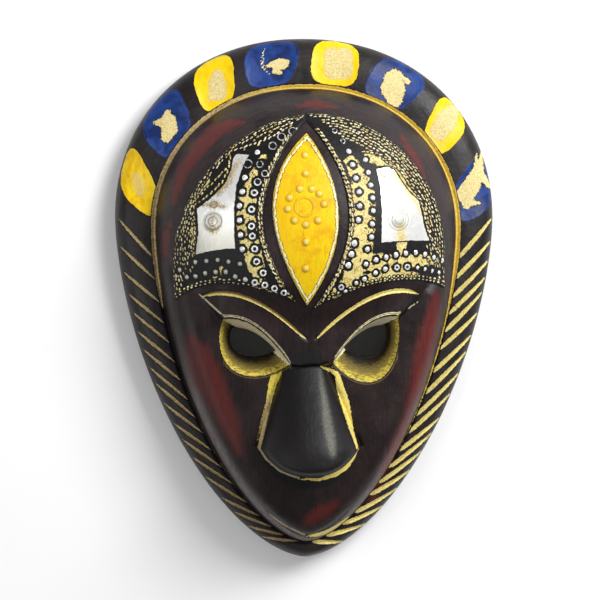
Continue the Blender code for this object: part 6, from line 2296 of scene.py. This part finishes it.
class SheetSettings(bpy.types.PropertyGroup):
    spacing: length_property("Spacing", "Distance between the points of a sheet", 0.00046)
    bead_height: length_property("Bead height", "How far the beads stand up", 0.00075)
    dash_half_width: length_property("Dash half width", "Half the width of a punched ring's line", 0.0005)
    dash_height: length_property("Dash height", "How far the dashes stand up", 0.00038)
    rope_half_width: length_property("Rope half width", "Half the width of a rope's strand", 0.00045)
    rope_height: length_property("Rope height", "How far the ropes stand up", 0.0004)


class LensSettings(bpy.types.PropertyGroup):
    spacing: length_property("Spacing", "Distance between the points of the lens", 0.0005)
    bead_height: length_property("Dot height", "How far the dots stand up", 0.0008)
    dash_half_width: length_property("Circle half width", "Half the width of the circle's line", 0.00045)
    dash_height: length_property("Circle height", "How far the circle stands up", 0.0003)
    rope_half_width: length_property("Border half width", "Half the width of the pale border", 0.00045)
    rope_height: length_property("Border height", "How far the border stands up", 0.0002)


class StageSettings(bpy.types.PropertyGroup):
    floor_size: length_property("Floor size", "Side of the floor", 3.0)
    floor_colour: colour_property("Floor colour", "Pale floor", 250, 250, 250)
    key_power: number_property("Key power", "Light from the upper right", 14.0)
    fill_power: number_property("Fill power", "Light from the left", 3.5)
    sky_strength: number_property("Sky strength", "Light from all round", 0.36)


class MASK_OT_stage(bpy.types.Operator):
    """Sets the camera, the soft lights and the pale floor"""

    bl_idname = "mask.stage"
    bl_label = "Stage"

    def execute(self, context):
        stage = context.scene.mask_stage
        make_camera()
        make_world(stage)
        make_floor(stage)
        add_softbox("key", KEY_FROM, KEY_SIZE, stage.key_power)
        add_softbox("fill", FILL_FROM, FILL_SIZE, stage.fill_power)
        context.scene.view_settings.view_transform = "Standard"
        return {"FINISHED"}


class MASK_OT_carved_wood(bpy.types.Operator):
    """Makes the carved and painted wooden body"""

    bl_idname = "mask.carved_wood"
    bl_label = "Carved wood"

    def execute(self, context):
        wood, paint = context.scene.mask_wood, context.scene.mask_paint
        points, faces, bare = carved_wood(wood.spacing, wood.back_spacing)
        finishes = [wood_paint_finish(paint), hollow_wood_finish(paint)]
        mask = add_piece("carved_mask", points, faces, wood_paint(points[:, :2]), finishes, bare)
        stand_for(mask, "carved_body")
        return {"FINISHED"}


class MASK_OT_forehead_sheets(bpy.types.Operator):
    """Makes the two embossed sheets on the forehead"""

    bl_idname = "mask.forehead_sheets"
    bl_label = "Forehead sheets"

    def execute(self, context):
        work = context.scene.mask_sheets
        finish = sheet_finish(context.scene.mask_paint)
        for word, side in (("left", LEFT_SIDE), ("right", RIGHT_SIDE)):
            outline = plate_outline(side)
            plan = SheetPlan(side, outline)
            sheet = plain_sheet(f"{word}_forehead_sheet", outline, plan, work.spacing, finish)
            stand_for(embossed(sheet, plan, work, finish), f"{word}_forehead_plate")
        return {"FINISHED"}


class MASK_OT_lens_sheet(bpy.types.Operator):
    """Makes the yellow lens-shaped sheet between them"""

    bl_idname = "mask.lens_sheet"
    bl_label = "Lens sheet"

    def execute(self, context):
        work = context.scene.mask_lens
        finish = lens_finish(context.scene.mask_paint)
        outline = lens_outline()
        plan = LensPlan(outline)
        sheet = plain_sheet("lens_sheet", outline, plan, work.spacing, finish)
        stand_for(embossed(sheet, plan, work, finish), "centre_lens_plate")
        return {"FINISHED"}


class VIEW3D_PT_carved_mask(bpy.types.Panel):
    """Lists the mask's settings and the steps that make it"""

    bl_label = "Carved Mask"
    bl_space_type = "VIEW_3D"
    bl_region_type = "UI"
    bl_category = "Mask"

    def draw(self, context):
        for holder, _ in SETTINGS:
            box = self.layout.box()
            settings = getattr(context.scene, holder)
            for field in type(settings).__annotations__:
                box.prop(settings, field)
        for step in STEPS:
            self.layout.operator(step.bl_idname)


SETTINGS = (
    ("mask_wood", CarvedWoodSettings),
    ("mask_paint", PaintSettings),
    ("mask_sheets", SheetSettings),
    ("mask_lens", LensSettings),
    ("mask_stage", StageSettings),
)
STEPS = (MASK_OT_stage, MASK_OT_carved_wood, MASK_OT_forehead_sheets, MASK_OT_lens_sheet)


def register():
    for holder, settings in SETTINGS:
        bpy.utils.register_class(settings)
        setattr(bpy.types.Scene, holder, bpy.props.PointerProperty(type=settings))
    for step in (*STEPS, VIEW3D_PT_carved_mask):
        bpy.utils.register_class(step)


def unregister():
    for step in (VIEW3D_PT_carved_mask, *reversed(STEPS)):
        bpy.utils.unregister_class(step)
    for holder, settings in reversed(SETTINGS):
        delattr(bpy.types.Scene, holder)
        bpy.utils.unregister_class(settings)


def main():
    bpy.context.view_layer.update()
    register()
    bpy.ops.mask.stage()
    bpy.ops.mask.carved_wood()
    bpy.ops.mask.forehead_sheets()
    bpy.ops.mask.lens_sheet()


if __name__ == "__main__":
    main()
